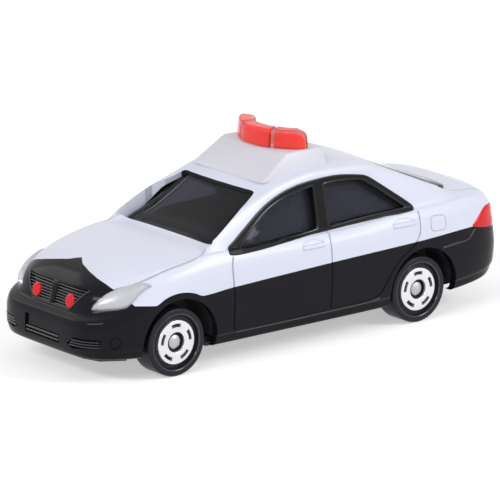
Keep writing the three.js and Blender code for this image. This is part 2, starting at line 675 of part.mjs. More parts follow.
// A post cast under the deck: its shoulder rests on the base, its stud goes through and is spun over
function rivetPost(x, lift) {
  const top = Math.min(deckMiddle(x - POST_RADIUS), deckMiddle(x + POST_RADIUS)) - WALL / 2;
  const shoulder = BASE_TOP + lift + FIT / 2;
  const rivet = BASE_BOTTOM + lift + FIT / 2;
  return join([
    pillar(POST_RADIUS, x, 0, shoulder, top),
    pillar(STUD_RADIUS, x, 0, rivet, shoulder + 0.5),
    pillar(RIVET_RADIUS, x, 0, rivet, rivet + RIVET_THICKNESS),
  ]);
}

function windowGlass() {
  const bottom = TUB_RIM_Z + FIT;
  const outer = cabinSkin(COARSE_MARKS, CABIN_WALL + FIT, bottom);
  const inner = cabinSkin(COARSE_MARKS, CABIN_WALL + FIT + GLASS_WALL, bottom);
  const under = block([COWL_X, CABIN_END_X], [-WIDTH / 2, WIDTH / 2], [bottom - 2, bottom + 0.01]);
  return outer.subtract(inner).subtract(under);
}

function interiorTub() {
  const floor = TUB_BOTTOM + TUB_WALL;
  const sides = [-TUB_HALF_WIDTH, TUB_HALF_WIDTH];
  const pan = cut(block([TUB_FRONT_X, TUB_REAR_X], sides, [TUB_BOTTOM, TUB_RIM_Z]), [
    block([TUB_FRONT_X + TUB_WALL, TUB_REAR_X - TUB_WALL],
      [-TUB_HALF_WIDTH + TUB_WALL, TUB_HALF_WIDTH - TUB_WALL], [floor, TUB_RIM_Z + 1]),
  ]);
  const shelf = block([TUB_REAR_X - TUB_WALL, SHELF_END_X], [-SHELF_HALF_WIDTH, SHELF_HALF_WIDTH],
    [TUB_RIM_Z - TUB_WALL, TUB_RIM_Z]);
  const dash = prismY([[TUB_FRONT_X, floor], [TUB_FRONT_X + 4, floor], [TUB_FRONT_X + 4.4, TUB_RIM_Z + 0.6],
    [TUB_FRONT_X + 3, TUB_RIM_Z + 0.8], [TUB_FRONT_X + 0.4, TUB_RIM_Z]], -TUB_HALF_WIDTH + 0.5, TUB_HALF_WIDTH - 0.5);
  const pieces = [pan, shelf, dash, steeringWheel(), bench()];
  for (const side of [-1, 1]) pieces.push(seat(side * SEAT_CENTRE));
  for (const x of [LEAF_ROOT_FRONT + 6, LEAF_ROOT_REAR - 6]) {
    pieces.push(block([x - 0.6, x + 0.6], [-6, 6], [BASE_TOP + FIT / 2, TUB_BOTTOM + 0.5]));
  }
  return join(pieces);
}

function seat(y) {
  const floor = TUB_BOTTOM + TUB_WALL / 2;
  const x = PILLAR_B_X - SEAT_PILLAR_GAP;
  const edges = [y - SEAT_WIDTH / 2, y + SEAT_WIDTH / 2];
  const front = x - SEAT_LENGTH;
  const base = prismY([[front, floor], [x - 0.2, floor], [x, SEAT_Z], [front + 0.8, SEAT_Z + 0.6],
    [front - 0.2, SEAT_Z]], edges[0], edges[1]);
  const back = prismY([[x - 2, SEAT_Z - 0.4], [x, SEAT_Z - 0.4], [x + 1.6, SEAT_BACK_Z - 0.3], [x + 1, SEAT_BACK_Z],
    [x, SEAT_BACK_Z - 0.3]], edges[0], edges[1]);
  const rest = prismY([[x + 0.1, SEAT_BACK_Z - 0.6], [x + 1.4, SEAT_BACK_Z - 0.6], [x + 1.9, HEADREST_Z],
    [x + 0.7, HEADREST_Z]], y - SEAT_WIDTH / 4, y + SEAT_WIDTH / 4);
  return join([base, back, rest]);
}

function bench() {
  const floor = TUB_BOTTOM + TUB_WALL / 2;
  const half = TUB_HALF_WIDTH - 2.2;
  const back = TUB_REAR_X - TUB_WALL / 2;
  const front = TUB_REAR_X - BENCH_LENGTH;
  return prismY([[front, floor], [back, floor], [back, SEAT_BACK_Z - 1], [back - 1.1, SEAT_BACK_Z - 0.8],
    [back - 2.7, SEAT_Z + 0.6], [front + 0.6, SEAT_Z + 1], [front - 0.2, SEAT_Z + 0.4]], -half, half);
}

function steeringWheel() {
  const x = TUB_FRONT_X + 6;
  const z = TUB_RIM_Z + 1.1;
  const lean = new THREE.Matrix4().makeRotationY(STEERING_LEAN);
  const rim = new THREE.TorusGeometry(STEERING_RADIUS, STEERING_TUBE, 6, 18);
  const spoke = new THREE.BoxGeometry(0.5, 2 * STEERING_RADIUS, 0.4);
  const column = new THREE.CylinderGeometry(0.4, 0.4, 4.4, 10).rotateX(Math.PI / 2).translate(0, 0, -2.1);
  return join([rim, spoke, column].map((piece) => solid(piece.applyMatrix4(lean).translate(x, SEAT_CENTRE, z))));
}

function chassisBase() {
  const loop = lowerLoop(LOWER_LOOPS[0], WALL + FIT);
  const outline = ringOf(COARSE_MARKS.map((mark) => [...planPoint(mark, loop), 0]));
  const kickX = REAR_AXLE_X + WHEEL_RADIUS + SPRING_TRAVEL + WELL_GAP;
  const rearEnd = block([kickX, TAIL_X], [-WIDTH, WIDTH], [BASE_BOTTOM - 1, BASE_TOP + 5]);
  const rearPlate = prismZ(outline, BASE_BOTTOM + REAR_KICK, BASE_TOP + REAR_KICK);
  const overlap = block([kickX - BASE_THICKNESS, TAIL_X], [-WIDTH, WIDTH], [BASE_BOTTOM - 1, BASE_TOP + 5]);
  const pieces = [prismZ(outline, BASE_BOTTOM, BASE_TOP).subtract(rearEnd), rearPlate.intersect(overlap)];
  const cutters = [];
  const wellInner = WHEEL_FACE_Y - WHEEL_WIDTH - WELL_GAP;
  const wellReach = WHEEL_RADIUS + SPRING_TRAVEL + WELL_GAP;
  for (const x of [FRONT_AXLE_X, REAR_AXLE_X]) {
    for (const side of [-1, 1]) {
      const span = [side * wellInner, side * WIDTH].sort((a, b) => a - b);
      cutters.push(block([x - wellReach, x + wellReach], span, [BASE_BOTTOM - 1, BASE_TOP + 1]));
      const bracket = [side * (wellInner - BRACKET_WIDTH), side * wellInner].sort((a, b) => a - b);
      pieces.push(block([x - BRACKET_LENGTH / 2, x + BRACKET_LENGTH / 2], bracket,
        [BASE_BOTTOM, AXLE_Z + AXLE_RADIUS + BRACKET_RISE]));
    }
    const slot = AXLE_RADIUS + AXLE_PLAY;
    cutters.push(block([x - slot, x + slot], [-WIDTH, WIDTH], [AXLE_Z - slot, AXLE_Z + 10]));
  }
  for (const [x, lift] of [[NOSE_X + FRONT_POST_SETBACK, 0], [TAIL_X - REAR_POST_SETBACK, REAR_KICK]]) {
    cutters.push(pillar(STUD_RADIUS + FIT, x, 0, BASE_BOTTOM + lift - 1, BASE_TOP + lift + 1));
    cutters.push(pillar(RIVET_RADIUS + FIT, x, 0, BASE_BOTTOM + lift - 1, BASE_BOTTOM + lift + RIVET_SINK));
  }
  for (const x of [LEAF_ROOT_FRONT, LEAF_ROOT_REAR]) {
    pieces.push(pillar(STAKE_HEAD_RADIUS, x, 0, BASE_TOP - 0.5, LEAF_BOTTOM - STAKE_PLAY));
    pieces.push(pillar(STAKE_RADIUS, x, 0, BASE_TOP - 0.5, LEAF_TOP + STAKE_PLAY + STAKE_HEAD_HEIGHT));
    pieces.push(pillar(STAKE_HEAD_RADIUS, x, 0, LEAF_TOP + STAKE_PLAY, LEAF_TOP + STAKE_PLAY + STAKE_HEAD_HEIGHT));
  }
  return cut(join(pieces), cutters);
}

// A strip from the stake on the base to above the axle; reach is +1 or -1 along X from root to axle
function leafSpring(root, axle) {
  const reach = Math.sign(axle - root);
  const span = [root - reach * LEAF_TAIL, axle + reach * LEAF_TIP].sort((a, b) => a - b);
  const strip = block(span, [-LEAF_WIDTH / 2, LEAF_WIDTH / 2], [LEAF_BOTTOM, LEAF_TOP]);
  return strip.subtract(pillar(STAKE_RADIUS + STAKE_PLAY, root, 0, LEAF_BOTTOM - 1, LEAF_TOP + 1));
}

// A shaft along Y with a rounded head sunk in each wheel's hub
function axle(x) {
  const end = WHEEL_FACE_Y - HUB_SINK + AXLE_HEAD_LENGTH;
  const neck = WHEEL_FACE_Y - HUB_SINK + FIT / 2;
  const half = [
    [0, end], [AXLE_HEAD_RADIUS * 0.6, end - 0.1], [AXLE_HEAD_RADIUS, end - 0.3],
    [AXLE_HEAD_RADIUS, neck], [AXLE_RADIUS, neck],
  ];
  const profile = half.concat(half.slice().reverse().map((point) => [point[0], -point[1]])).reverse();
  const geometry = new THREE.LatheGeometry(profile.map((p) => new THREE.Vector2(p[0], p[1])), 16);
  return solid(geometry.translate(x, 0, AXLE_Z));
}

// One-piece wheel: tyre, inner lip, groove, raised disc with slots, and a hub sunk for the axle head
function wheel(x, side) {
  const bore = AXLE_RADIUS + PRESS_GAP;
  const face = WHEEL_WIDTH;
  const profile = [
    [bore, 0.4], [WHEEL_RADIUS - TYRE_SHOULDER, 0], [WHEEL_RADIUS, TYRE_SHOULDER],
    [WHEEL_RADIUS, face - TYRE_SHOULDER], [WHEEL_RADIUS - TYRE_SHOULDER, face], [RIM_RADIUS, face],
    [GROOVE_RADIUS + 0.15, face - GROOVE_DEPTH], [GROOVE_RADIUS, face - GROOVE_DEPTH],
    [GROOVE_RADIUS - 0.15, face - DISC_SINK], [HUB_RADIUS, face - DISC_SINK],
    [HUB_RADIUS, face - HUB_SINK], [bore, face - HUB_SINK], [bore, 0.4],
  ];
  const geometry = new THREE.LatheGeometry(profile.map((p) => new THREE.Vector2(p[0], p[1])), 28);
  const slots = [];
  for (let i = 0; i < SLOT_COUNT; i += 1) {
    const slot = new THREE.BoxGeometry(SLOT_LENGTH, 2 * SLOT_DEPTH, SLOT_HEIGHT);
    slot.translate(0, face - DISC_SINK, SLOT_RING).rotateY((2 * Math.PI * i) / SLOT_COUNT);
    slots.push(solid(slot));
  }
  const body = cut(solid(geometry), slots);
  const turned = geometryOf(body);
  if (side < 0) turned.rotateZ(Math.PI);
  return solid(turned.translate(x, side * (WHEEL_FACE_Y - WHEEL_WIDTH), AXLE_Z));
}

function pegX() {
  return (BOX_TOP_FRONT_X + BOX_TOP_REAR_X) / 2;
}

// A box with sloping faces that follows the roof, with two pegs through it
function roofLightBox() {
  const lipZ = roofHeight(BOX_FRONT_X, 0) + FIT + BOX_LIP_HEIGHT;
  const levels = [
    { front: BOX_FRONT_X - BOX_SKIRT, rear: BOX_REAR_X, halfWidth: BOX_HALF_WIDTH, z: lipZ - BOX_FOOT },
    { front: BOX_FRONT_X, rear: BOX_REAR_X, halfWidth: BOX_HALF_WIDTH, z: lipZ },
    { front: BOX_TOP_FRONT_X - BOX_EDGE, rear: BOX_TOP_REAR_X + BOX_EDGE / 2,
      halfWidth: BOX_TOP_HALF_WIDTH + BOX_EDGE / 2, z: BOX_TOP - BOX_EDGE },
    { front: BOX_TOP_FRONT_X + BOX_EDGE / 2, rear: BOX_TOP_REAR_X - BOX_EDGE,
      halfWidth: BOX_TOP_HALF_WIDTH - BOX_EDGE, z: BOX_TOP },
  ];
  const rings = levels.map((level) => {
    const half = [[level.front, 0], [level.front, level.halfWidth - BOX_EDGE], [level.front + BOX_EDGE, level.halfWidth],
      [level.rear - BOX_EDGE, level.halfWidth], [level.rear, level.halfWidth - BOX_EDGE], [level.rear, 0]];
    return ringOf(half.map((point) => [point[0], point[1], level.z]));
  });
  const pegs = [-1, 1].map((side) =>
    pillar(PEG_RADIUS, pegX(), side * PEG_SPREAD, roofHeight(pegX(), PEG_SPREAD) - CABIN_WALL, BOX_TOP - 1));
  return join([loft(rings).subtract(bodySkin(FINE_MARKS, -FIT, -FIT)), ...pegs]);
}

// A bar of rounded section in three lengths: the middle straight, the ends swept back and rounded
function lightBarLens() {
  const mitre = Math.tan(BAR_SWEEP / 2);
  const sine = Math.sin(BAR_SWEEP);
  const cosine = Math.cos(BAR_SWEEP);
  const stops = [{ at: -BAR_SEAM, notch: 0, round: 0 }, { at: -BAR_NOTCH_WIDTH, notch: 0, round: 0 },
    { at: 0, notch: BAR_NOTCH, round: 0 }, { at: BAR_NOTCH_WIDTH, notch: 0, round: 0 }];
  for (const turn of [0, 0.4, 0.75, 1]) {
    const angle = (turn * Math.PI) / 2;
    stops.push({ at: BAR_END_LENGTH - BAR_END_ROUND * (1 - Math.sin(angle)), notch: 0,
      round: BAR_END_ROUND * (1 - Math.cos(angle)) });
  }
  const section = [[0, 0], [0.02, 0.55], [0.1, 0.85], [0.24, 1], [0.76, 1], [0.9, 0.85], [0.98, 0.55], [1, 0]];
  const half = stops.map((stop, k) => section.map((point) => {
    const deep = stop.notch + 0.45 * stop.round + point[0] * (BAR_DEPTH - 2 * stop.notch - 0.9 * stop.round);
    const z = BOX_TOP + FIT / 2 + point[1] * (BAR_HEIGHT - stop.notch - 0.8 * stop.round);
    if (k === 0) return [BAR_FRONT_X + deep, 0, z];
    if (stop.at <= 0) return [BAR_FRONT_X + deep, BAR_SEAM - deep * mitre + stop.at, z];
    const out = stop.at + deep * mitre * Math.max(0, 1 - stop.at / BAR_NOTCH_WIDTH / 2);
    return [BAR_FRONT_X + out * sine + deep * cosine, BAR_SEAM + out * cosine - deep * sine, z];
  }));
  const left = half.slice(1).reverse().map((ring) => ring.map((point) => [point[0], -point[1], point[2]]));
  return loft(left.concat(half));
}

// Finishes

const FINISHES = {
  body_shell: { color: 0xe4e7f0, roughness: 0.25, metalness: 0.1 },
  window_glass: { color: 0x1b1c22, roughness: 0.1, metalness: 0 },
  interior_tub: { color: 0x2a2a2e, roughness: 0.6, metalness: 0 },
  chassis_base: { color: 0x17171b, roughness: 0.5, metalness: 0 },
  roof_light_box: { color: 0xe9e8f2, roughness: 0.35, metalness: 0 },
  light_bar_lens: { color: 0xc21226, roughness: 0.15, metalness: 0 },
  spring: { color: 0xa8abb2, roughness: 0.35, metalness: 0.9 },
  axle: { color: 0x9b9ea6, roughness: 0.35, metalness: 0.9 },
  wheel: { color: 0x15161b, roughness: 0.45, metalness: 0 },
};

const car = new THREE.Group();

function place(name, body, finish) {
  const mesh = new THREE.Mesh(geometryOf(body), new THREE.MeshStandardMaterial(FINISHES[finish]));
  mesh.name = name;
  car.add(mesh);
}

place("body_shell", bodyShell(), "body_shell");
place("window_glass", windowGlass(), "window_glass");
place("interior_tub", interiorTub(), "interior_tub");
place("chassis_base", chassisBase(), "chassis_base");
place("roof_light_box", roofLightBox(), "roof_light_box");
place("light_bar_lens", lightBarLens(), "light_bar_lens");
place("front_leaf_spring", leafSpring(LEAF_ROOT_FRONT, FRONT_AXLE_X), "spring");
place("rear_leaf_spring", leafSpring(LEAF_ROOT_REAR, REAR_AXLE_X), "spring");
place("front_axle", axle(FRONT_AXLE_X), "axle");
place("rear_axle", axle(REAR_AXLE_X), "axle");
place("front_left_wheel", wheel(FRONT_AXLE_X, -1), "wheel");
place("front_right_wheel", wheel(FRONT_AXLE_X, 1), "wheel");
place("rear_left_wheel", wheel(REAR_AXLE_X, -1), "wheel");
place("rear_right_wheel", wheel(REAR_AXLE_X, 1), "wheel");

export default car;
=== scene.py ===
"""A die-cast toy patrol saloon: two-tone shell, smoked windows, red roof lamps and silver-faced wheels."""

import math

import bmesh
import bpy
import numpy as np
from mathutils import Matrix, Vector
from mathutils.bvhtree import BVHTree
from mathutils.geometry import delaunay_2d_cdt


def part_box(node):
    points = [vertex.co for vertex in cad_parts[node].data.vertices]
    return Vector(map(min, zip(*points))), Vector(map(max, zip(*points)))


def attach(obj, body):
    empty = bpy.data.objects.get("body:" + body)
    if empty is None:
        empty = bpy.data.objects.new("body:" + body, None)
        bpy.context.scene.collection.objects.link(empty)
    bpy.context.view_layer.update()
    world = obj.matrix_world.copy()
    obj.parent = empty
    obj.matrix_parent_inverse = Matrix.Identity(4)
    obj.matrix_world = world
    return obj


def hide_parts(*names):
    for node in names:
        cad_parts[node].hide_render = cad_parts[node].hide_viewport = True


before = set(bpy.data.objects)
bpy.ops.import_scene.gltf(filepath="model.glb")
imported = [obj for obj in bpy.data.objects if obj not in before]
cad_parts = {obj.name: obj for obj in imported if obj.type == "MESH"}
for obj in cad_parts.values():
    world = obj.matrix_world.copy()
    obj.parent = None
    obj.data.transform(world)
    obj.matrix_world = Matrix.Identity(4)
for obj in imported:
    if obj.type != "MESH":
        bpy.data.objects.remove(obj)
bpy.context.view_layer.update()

# Driving sizes, in millimetres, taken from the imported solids

MM = 0.001


def box_mm(node):
    low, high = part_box(node)
    return low / MM, high / MM


def middle_mm(node):
    low, high = box_mm(node)
    return (low + high) / 2


SKIN_EASE = 0.03
SHELL_LOW, SHELL_HIGH = box_mm("body_shell")
WHEEL_LOW, WHEEL_HIGH = box_mm("front_left_wheel")
BOX_LOW, BOX_HIGH = box_mm("roof_light_box")
BAR_LOW, BAR_HIGH = box_mm("light_bar_lens")
NOSE_X = SHELL_LOW.x + SKIN_EASE
TAIL_X = SHELL_HIGH.x - SKIN_EASE
HALF = SHELL_HIGH.y - SKIN_EASE
FRONT_AXLE_X = middle_mm("front_axle").x
REAR_AXLE_X = middle_mm("rear_axle").x
AXLE_Z = middle_mm("front_axle").z
WHEEL_RADIUS = (WHEEL_HIGH.x - WHEEL_LOW.x) / 2
WHEEL_FACE_Y = -WHEEL_LOW.y
WHEEL_WIDTH = WHEEL_HIGH.y - WHEEL_LOW.y

# Heights and run of the shell, in millimetres

SILL_HEIGHT = 3.3
CREST_HEIGHT = 16.2
ROOF_HEIGHT = 25.7
COWL_SETBACK = 7.8
CABIN_LENGTH = 47
COWL_X = FRONT_AXLE_X + COWL_SETBACK
CABIN_END_X = COWL_X + CABIN_LENGTH
CABIN_MIDDLE_X = (COWL_X + CABIN_END_X) / 2
SCREEN_RUN = 10.2
BACKLIGHT_RUN = 15.2
BACKLIGHT_FOOT = 0.6
BACKLIGHT_BOW = 1.15
HEADER_X = COWL_X + SCREEN_RUN
ROOF_END_X = CABIN_END_X - BACKLIGHT_RUN
BELT_INSET = 2
BELT_HALF_WIDTH = HALF - BELT_INSET
TUMBLEHOME = 2.3
ROOF_HALF_WIDTH = BELT_HALF_WIDTH - TUMBLEHOME
PILLAR_FOOT = 9.2
PILLAR_BOW = 3
FOOT_FRONT_POWER = 6
FOOT_EDGE_POWER = 14
ROOF_CROWN = 0.5
HEADER_DROP = 2
HEADER_RISE = 1.05
ROOF_TAIL_DROP = 0.8
RAIL_DROP = 0.1
RAIL_ROUND = 0.9
RAIL_STEPS = (1, 2.5, 6)
ROOF_MIDDLE_STRIP = 0.4
BOOT_SETBACK = 5
LOWER_REAR_POWER = 7.5
CABIN_FRONT_POWER = 12.6
CABIN_REAR_POWER = 10.3
ROOF_POWER = 9
DECK_SHARES = (0.25, 0.55, 0.85)
DECK_CROWN_POWER = 3.5
CABIN_SHARES = (0.33, 0.66, 1.0)
WALL = 1.1
CABIN_WALL = 0.75
ARCH_RADIUS = 6.4
ARCH_SETBACK = 0.5
TINY = 1e-6

# Each guide loop: nose inset, tail inset, side inset, nose squareness, and heights along the car

SILL_LOOPS = (
    (1.7, 2.2, 1.3, 5.7, (0.4, 0.0, 0.0, 0.0, 0.1, 0.8, 1.6)),
    (0.5, 1.0, 0.55, 5.7, (0.8, 0.4, 0.3, 0.3, 0.5, 1.2, 2.0)),
    (0.1, 0.5, 0.35, 5.7, (1.7, 1.5, 1.45, 1.45, 1.55, 2.2, 3.0)),
    (0.0, 0.3, 0.15, 5.7, (2.5, 1.9, 1.8, 1.8, 1.9, 2.7, 3.7)),
    (0.1, 0.15, 0.0, 5.7, (4.6, 5.1, 5.3, 5.3, 5.5, 5.8, 6.1)),
)
CREST_LOOPS = (
    (0.4, 0.3, 0.1, 5.5, (-7.0, -5.0, -4.7, -4.6, -4.2, -4.4, -5.0)),
    (1.55, 0.6, 0.35, 5.0, (-6.35, -3.0, -2.5, -2.4, -1.8, -1.9, -2.8)),
    (2.3, 0.7, 0.75, 4.5, (-4.0, -1.4, -0.9, -1.0, -0.3, -0.2, -1.0)),
    (3.2, 1.0, 1.5, 4.1, (-2.5, -0.3, 0.5, 0.1, 0.9, 1.05, 0.0)),
)


# Curves, paths and outlines

def monotone_slopes(values, secants):
    """Slopes at the points of a monotone cubic, from the secants between them."""
    slopes = np.zeros_like(values)
    slopes[0] = secants[0]
    slopes[-1] = secants[-1]
    product = secants[:-1] * secants[1:]
    total = secants[:-1] + secants[1:]
    rising = product > 0
    inner = np.zeros_like(product)
    inner[rising] = 2 * product[rising] / total[rising]
    slopes[1:-1] = inner
    return slopes


def cubic(start, end, first, last, span, t):
    """The value at share t of a span, between two values with their slopes."""
    rise = end - start
    bend = first + last - 2 * rise / span
    lift = 3 * rise / span - 2 * first - last
    return start + span * t * (first + t * (lift + t * bend))


def curve_through(stations):
    """A monotone cubic through (place, value) pairs, held level past its ends."""
    places, values = np.array(stations, float).T
    slopes = monotone_slopes(values, np.diff(values) / np.diff(places))

    def at(place):
        place = np.clip(place, places[0], places[-1])
        i = np.clip(np.searchsorted(places, place, side="right") - 1, 0, len(places) - 2)
        span = places[i + 1] - places[i]
        return cubic(values[i], values[i + 1], slopes[i], slopes[i + 1], span, (place - places[i]) / span)
    return at


def smooth_path(points, gap, closed=False):
    """A rounded path through the points, with a point about every gap."""
    points = [np.array(point, float) for point in points]
    count = len(points)
    path = []
    for i in range(count if closed else count - 1):
        here = points[i]
        after = points[(i + 1) % count]
        before = points[i - 1] if closed or i > 0 else 2 * here - after
        beyond = points[(i + 2) % count] if closed or i + 2 < count else 2 * after - here
        reach = np.linalg.norm(after - here)
        steps = max(2, int(round(reach / gap)))
        lead = (after - before) * reach / max(TINY, reach + np.linalg.norm(here - before))
        tail = (beyond - here) * reach / max(TINY, reach + np.linalg.norm(beyond - after))
        for k in range(steps):
            t = k / steps
            square = t * t
            cube = square * t
            path.append((2 * cube - 3 * square + 1) * here + (cube - 2 * square + t) * lead
                        + (3 * square - 2 * cube) * after + (cube - square) * tail)
    if not closed:
        path.append(points[-1])
    return path


def straight_path(points, gap, closed=False):
    """A path that keeps its corners, with a point about every gap."""
    points = [np.array(point, float) for point in points]
    ends = points[1:] + points[:1] if closed else points[1:]
    path = []
    for here, after in zip(points, ends):
        steps = max(1, int(round(np.linalg.norm(after - here) / gap)))
        path.extend(here + (after - here) * k / steps for k in range(steps))
    if not closed:
        path.append(points[-1])
    return path


LONGEST_CORNER = 0.45


def rounded(corners, radius, steps=5):
    """A closed outline with each corner replaced by a small arc."""
    corners = [np.array(corner, float) for corner in corners]
    outline = []
    for i, corner in enumerate(corners):
        back = corners[i - 1] - corner
        ahead = corners[(i + 1) % len(corners)] - corner
        start = corner + back * min(LONGEST_CORNER, radius / np.linalg.norm(back))
        end = corner + ahead * min(LONGEST_CORNER, radius / np.linalg.norm(ahead))
        for k in range(steps + 1):
            t = k / steps
            outline.append((1 - t) ** 2 * start + 2 * t * (1 - t) * corner + t * t * end)
    return outline


def both_sides(half):
    """A closed outline from its half on the plus side, counted from the middle line."""
    return list(half) + [(point[0], -point[1]) for point in reversed(half) if point[1] > TINY]


def shrunk(outline, amount):
    """An outline with each point drawn towards the middle."""
    middle = np.mean(np.array(outline), axis=0)
    small = []
    for point in outline:
        arm = np.array(point) - middle
        small.append(middle + arm * (1 - amount / np.linalg.norm(arm)))
    return small


def arc(middle, radius, start, end, steps):
    """Points on an arc, the angle counted in degrees."""
    points = []
    for k in range(steps + 1):
        angle = math.radians(start + (end - start) * k / steps)
        points.append((middle[0] + radius * math.cos(angle), middle[1] + radius * math.sin(angle)))
    return points


def circle(middle, radius, count):
    return arc(middle, radius, 0, 360, count)[:-1]


# The skin: guide rows round the car, smoothed up each column

deck_middle = curve_through((
    (NOSE_X + 3.2, CREST_HEIGHT - 2.5),
    (NOSE_X + 4.8, CREST_HEIGHT - 1.3),
    (NOSE_X + 7.1, CREST_HEIGHT - 0.2),
    (FRONT_AXLE_X, CREST_HEIGHT + 0.6),
    (COWL_X, CREST_HEIGHT + 1.1),
    (CABIN_END_X, CREST_HEIGHT + 1.85),
    (TAIL_X - 4.0, CREST_HEIGHT + 2.0),
    (TAIL_X - 1.0, CREST_HEIGHT + 0.9),
))
roof_middle = curve_through((
    (HEADER_X, ROOF_HEIGHT - HEADER_DROP),
    (HEADER_X + 3.5, ROOF_HEIGHT - HEADER_DROP + HEADER_RISE),
    (CABIN_MIDDLE_X - 3.0, ROOF_HEIGHT),
    (CABIN_MIDDLE_X + 3.0, ROOF_HEIGHT - 0.2),
    (ROOF_END_X, ROOF_HEIGHT - ROOF_TAIL_DROP),
))


def marks_round(front, side, rear):
    """Places round half the car's plan, from the middle of the nose to the middle of the tail."""
    nose = [(-1.0, i / front) for i in range(front)]
    flank = [(2.0 * i / side - 1.0, 1.0) for i in range(side)]
    tail = [(1.0, 1.0 - i / rear) for i in range(rear + 1)]
    return np.array(nose + flank + tail)


def plan(marks, front, rear, middle, half_width, front_power, rear_power, foot=0.0):
    """A squared oval in plan, whose front corners can be kicked forward by a foot."""
    power = np.where(marks[:, 0] < 0, front_power, rear_power)
    reach = (np.abs(marks[:, 0]) ** power + marks[:, 1] ** power) ** (-1 / power)
    along = marks[:, 0] * reach
    across = marks[:, 1] * reach
    length = np.where(along < 0, middle - front, rear - middle)
    kick = np.where(along < 0, foot * along ** FOOT_FRONT_POWER * across ** FOOT_EDGE_POWER, 0)
    return middle + along * length - kick, across * half_width


def lower_plan(marks, loop, inset):
    nose, tail, side, power = loop[:4]
    return plan(marks, NOSE_X + nose + inset, TAIL_X - tail - inset, 0.0, HALF - side - inset,
                power, LOWER_REAR_POWER)


def lower_height(loop, base):
    nose, tail = loop[:2]
    places = (NOSE_X + nose, FRONT_AXLE_X, COWL_X, CABIN_MIDDLE_X, REAR_AXLE_X, TAIL_X - BOOT_SETBACK,
              TAIL_X - tail)
    return curve_through([(place, base + height) for place, height in zip(places, loop[4])])


def cabin_plan(marks, share, inset, shrink=0.0, foot=PILLAR_FOOT):
    rear = ROOF_END_X + (BACKLIGHT_RUN + BACKLIGHT_FOOT) * (1 - share ** BACKLIGHT_BOW)
    return plan(marks, COWL_X + share * SCREEN_RUN + inset + shrink, rear - inset - shrink, CABIN_MIDDLE_X,
                BELT_HALF_WIDTH - share * TUMBLEHOME - inset - shrink,
                CABIN_FRONT_POWER + share * (ROOF_POWER - CABIN_FRONT_POWER),
                CABIN_REAR_POWER + share * (ROOF_POWER - CABIN_REAR_POWER),
                foot * (1 - share) * (1 + PILLAR_BOW * share))


crest_height = lower_height(CREST_LOOPS[-1], CREST_HEIGHT)


def crest_half_width(x):
    nose, tail, side, power = CREST_LOOPS[-1][:4]
    length = np.where(x < 0, -(NOSE_X + nose), TAIL_X - tail)
    powers = np.where(x < 0, power, LOWER_REAR_POWER)
    share = np.minimum(1, np.abs(x) / length)
    return (HALF - side) * (1 - share ** powers) ** (1 / powers)


def deck_height(x, y):
    edge = crest_half_width(x)
    share = np.where(edge > TINY, np.minimum(1, y / np.maximum(edge, TINY)), 1)
    middle = deck_middle(x)
    return middle - (middle - crest_height(x)) * share ** DECK_CROWN_POWER


def roof_height(x, y):
    return roof_middle(x) - ROOF_CROWN * (y / ROOF_HALF_WIDTH) ** 2


def cabin_rows(marks, inset, low, foot=PILLAR_FOOT):
    """The guide rows of the cabin, from just over its foot to the middle of the roof."""
    rows = []
    top_x, top_y = cabin_plan(marks, 1.0, inset)
    high = roof_height(top_x, top_y) - RAIL_DROP - inset
    for share in CABIN_SHARES:
        x, y = cabin_plan(marks, share, inset, 0.0, foot)
        rows.append(np.stack([x, y, low + share * (high - low)], 1))
    shrinks = [step * RAIL_ROUND for step in RAIL_STEPS]
    for shrink in shrinks + [ROOF_HALF_WIDTH - inset - ROOF_MIDDLE_STRIP]:
        x, y = cabin_plan(marks, 1.0, inset, shrink)
        rows.append(np.stack([x, y, roof_height(x, y) - inset], 1))
    return rows


def skin_rows(marks, inset, cabin_inset):
    """The guide rows of the whole skin, bottom to top, as half rows with y counted from the middle."""
    rows = []
    for base, loops in ((SILL_HEIGHT, SILL_LOOPS), (CREST_HEIGHT, CREST_LOOPS)):
        for loop in loops:
            x, y = lower_plan(marks, loop, inset)
            drop = inset if loop is CREST_LOOPS[-1] else 0.0
            rows.append(np.stack([x, y, lower_height(loop, base)(x) - drop], 1))
    crest = rows[-1]
    foot_x, foot_y = cabin_plan(marks, 0.0, cabin_inset)
    for share in DECK_SHARES:
        x = crest[:, 0] + share * (foot_x - crest[:, 0])
        y = crest[:, 1] + share * (foot_y - crest[:, 1])
        rows.append(np.stack([x, y, deck_height(x, y) - inset], 1))
    low = deck_height(foot_x, foot_y) - inset
    rows.append(np.stack([foot_x, foot_y, low], 1))
    return rows + cabin_rows(marks, cabin_inset, low)


def smooth_rows(rows, steps):
    """Extra rows between the guide rows, on a monotone cubic up each column."""
    rows = np.array(rows)
    spans = (np.linalg.norm(np.diff(rows, axis=0), axis=2) + TINY)[:, :, None]
    slopes = monotone_slopes(rows, np.diff(rows, axis=0) / spans)
    smooth = []
    for k in range(len(rows) - 1):
        for i in range(steps):
            smooth.append(cubic(rows[k], rows[k + 1], slopes[k], slopes[k + 1], spans[k], i / steps))
    smooth.append(rows[-1])
    return np.array(smooth)


def ring_faces(count, size, wrap=False):
    """Faces between neighbouring rings of points, each closed on itself, and back to the first on a wrap."""
    faces = []
    for k in range(count if wrap else count - 1):
        after = (k + 1) % count
        for i in range(size):
            n = (i + 1) % size
            faces.append((k * size + i, k * size + n, after * size + n, after * size + i))
    return faces


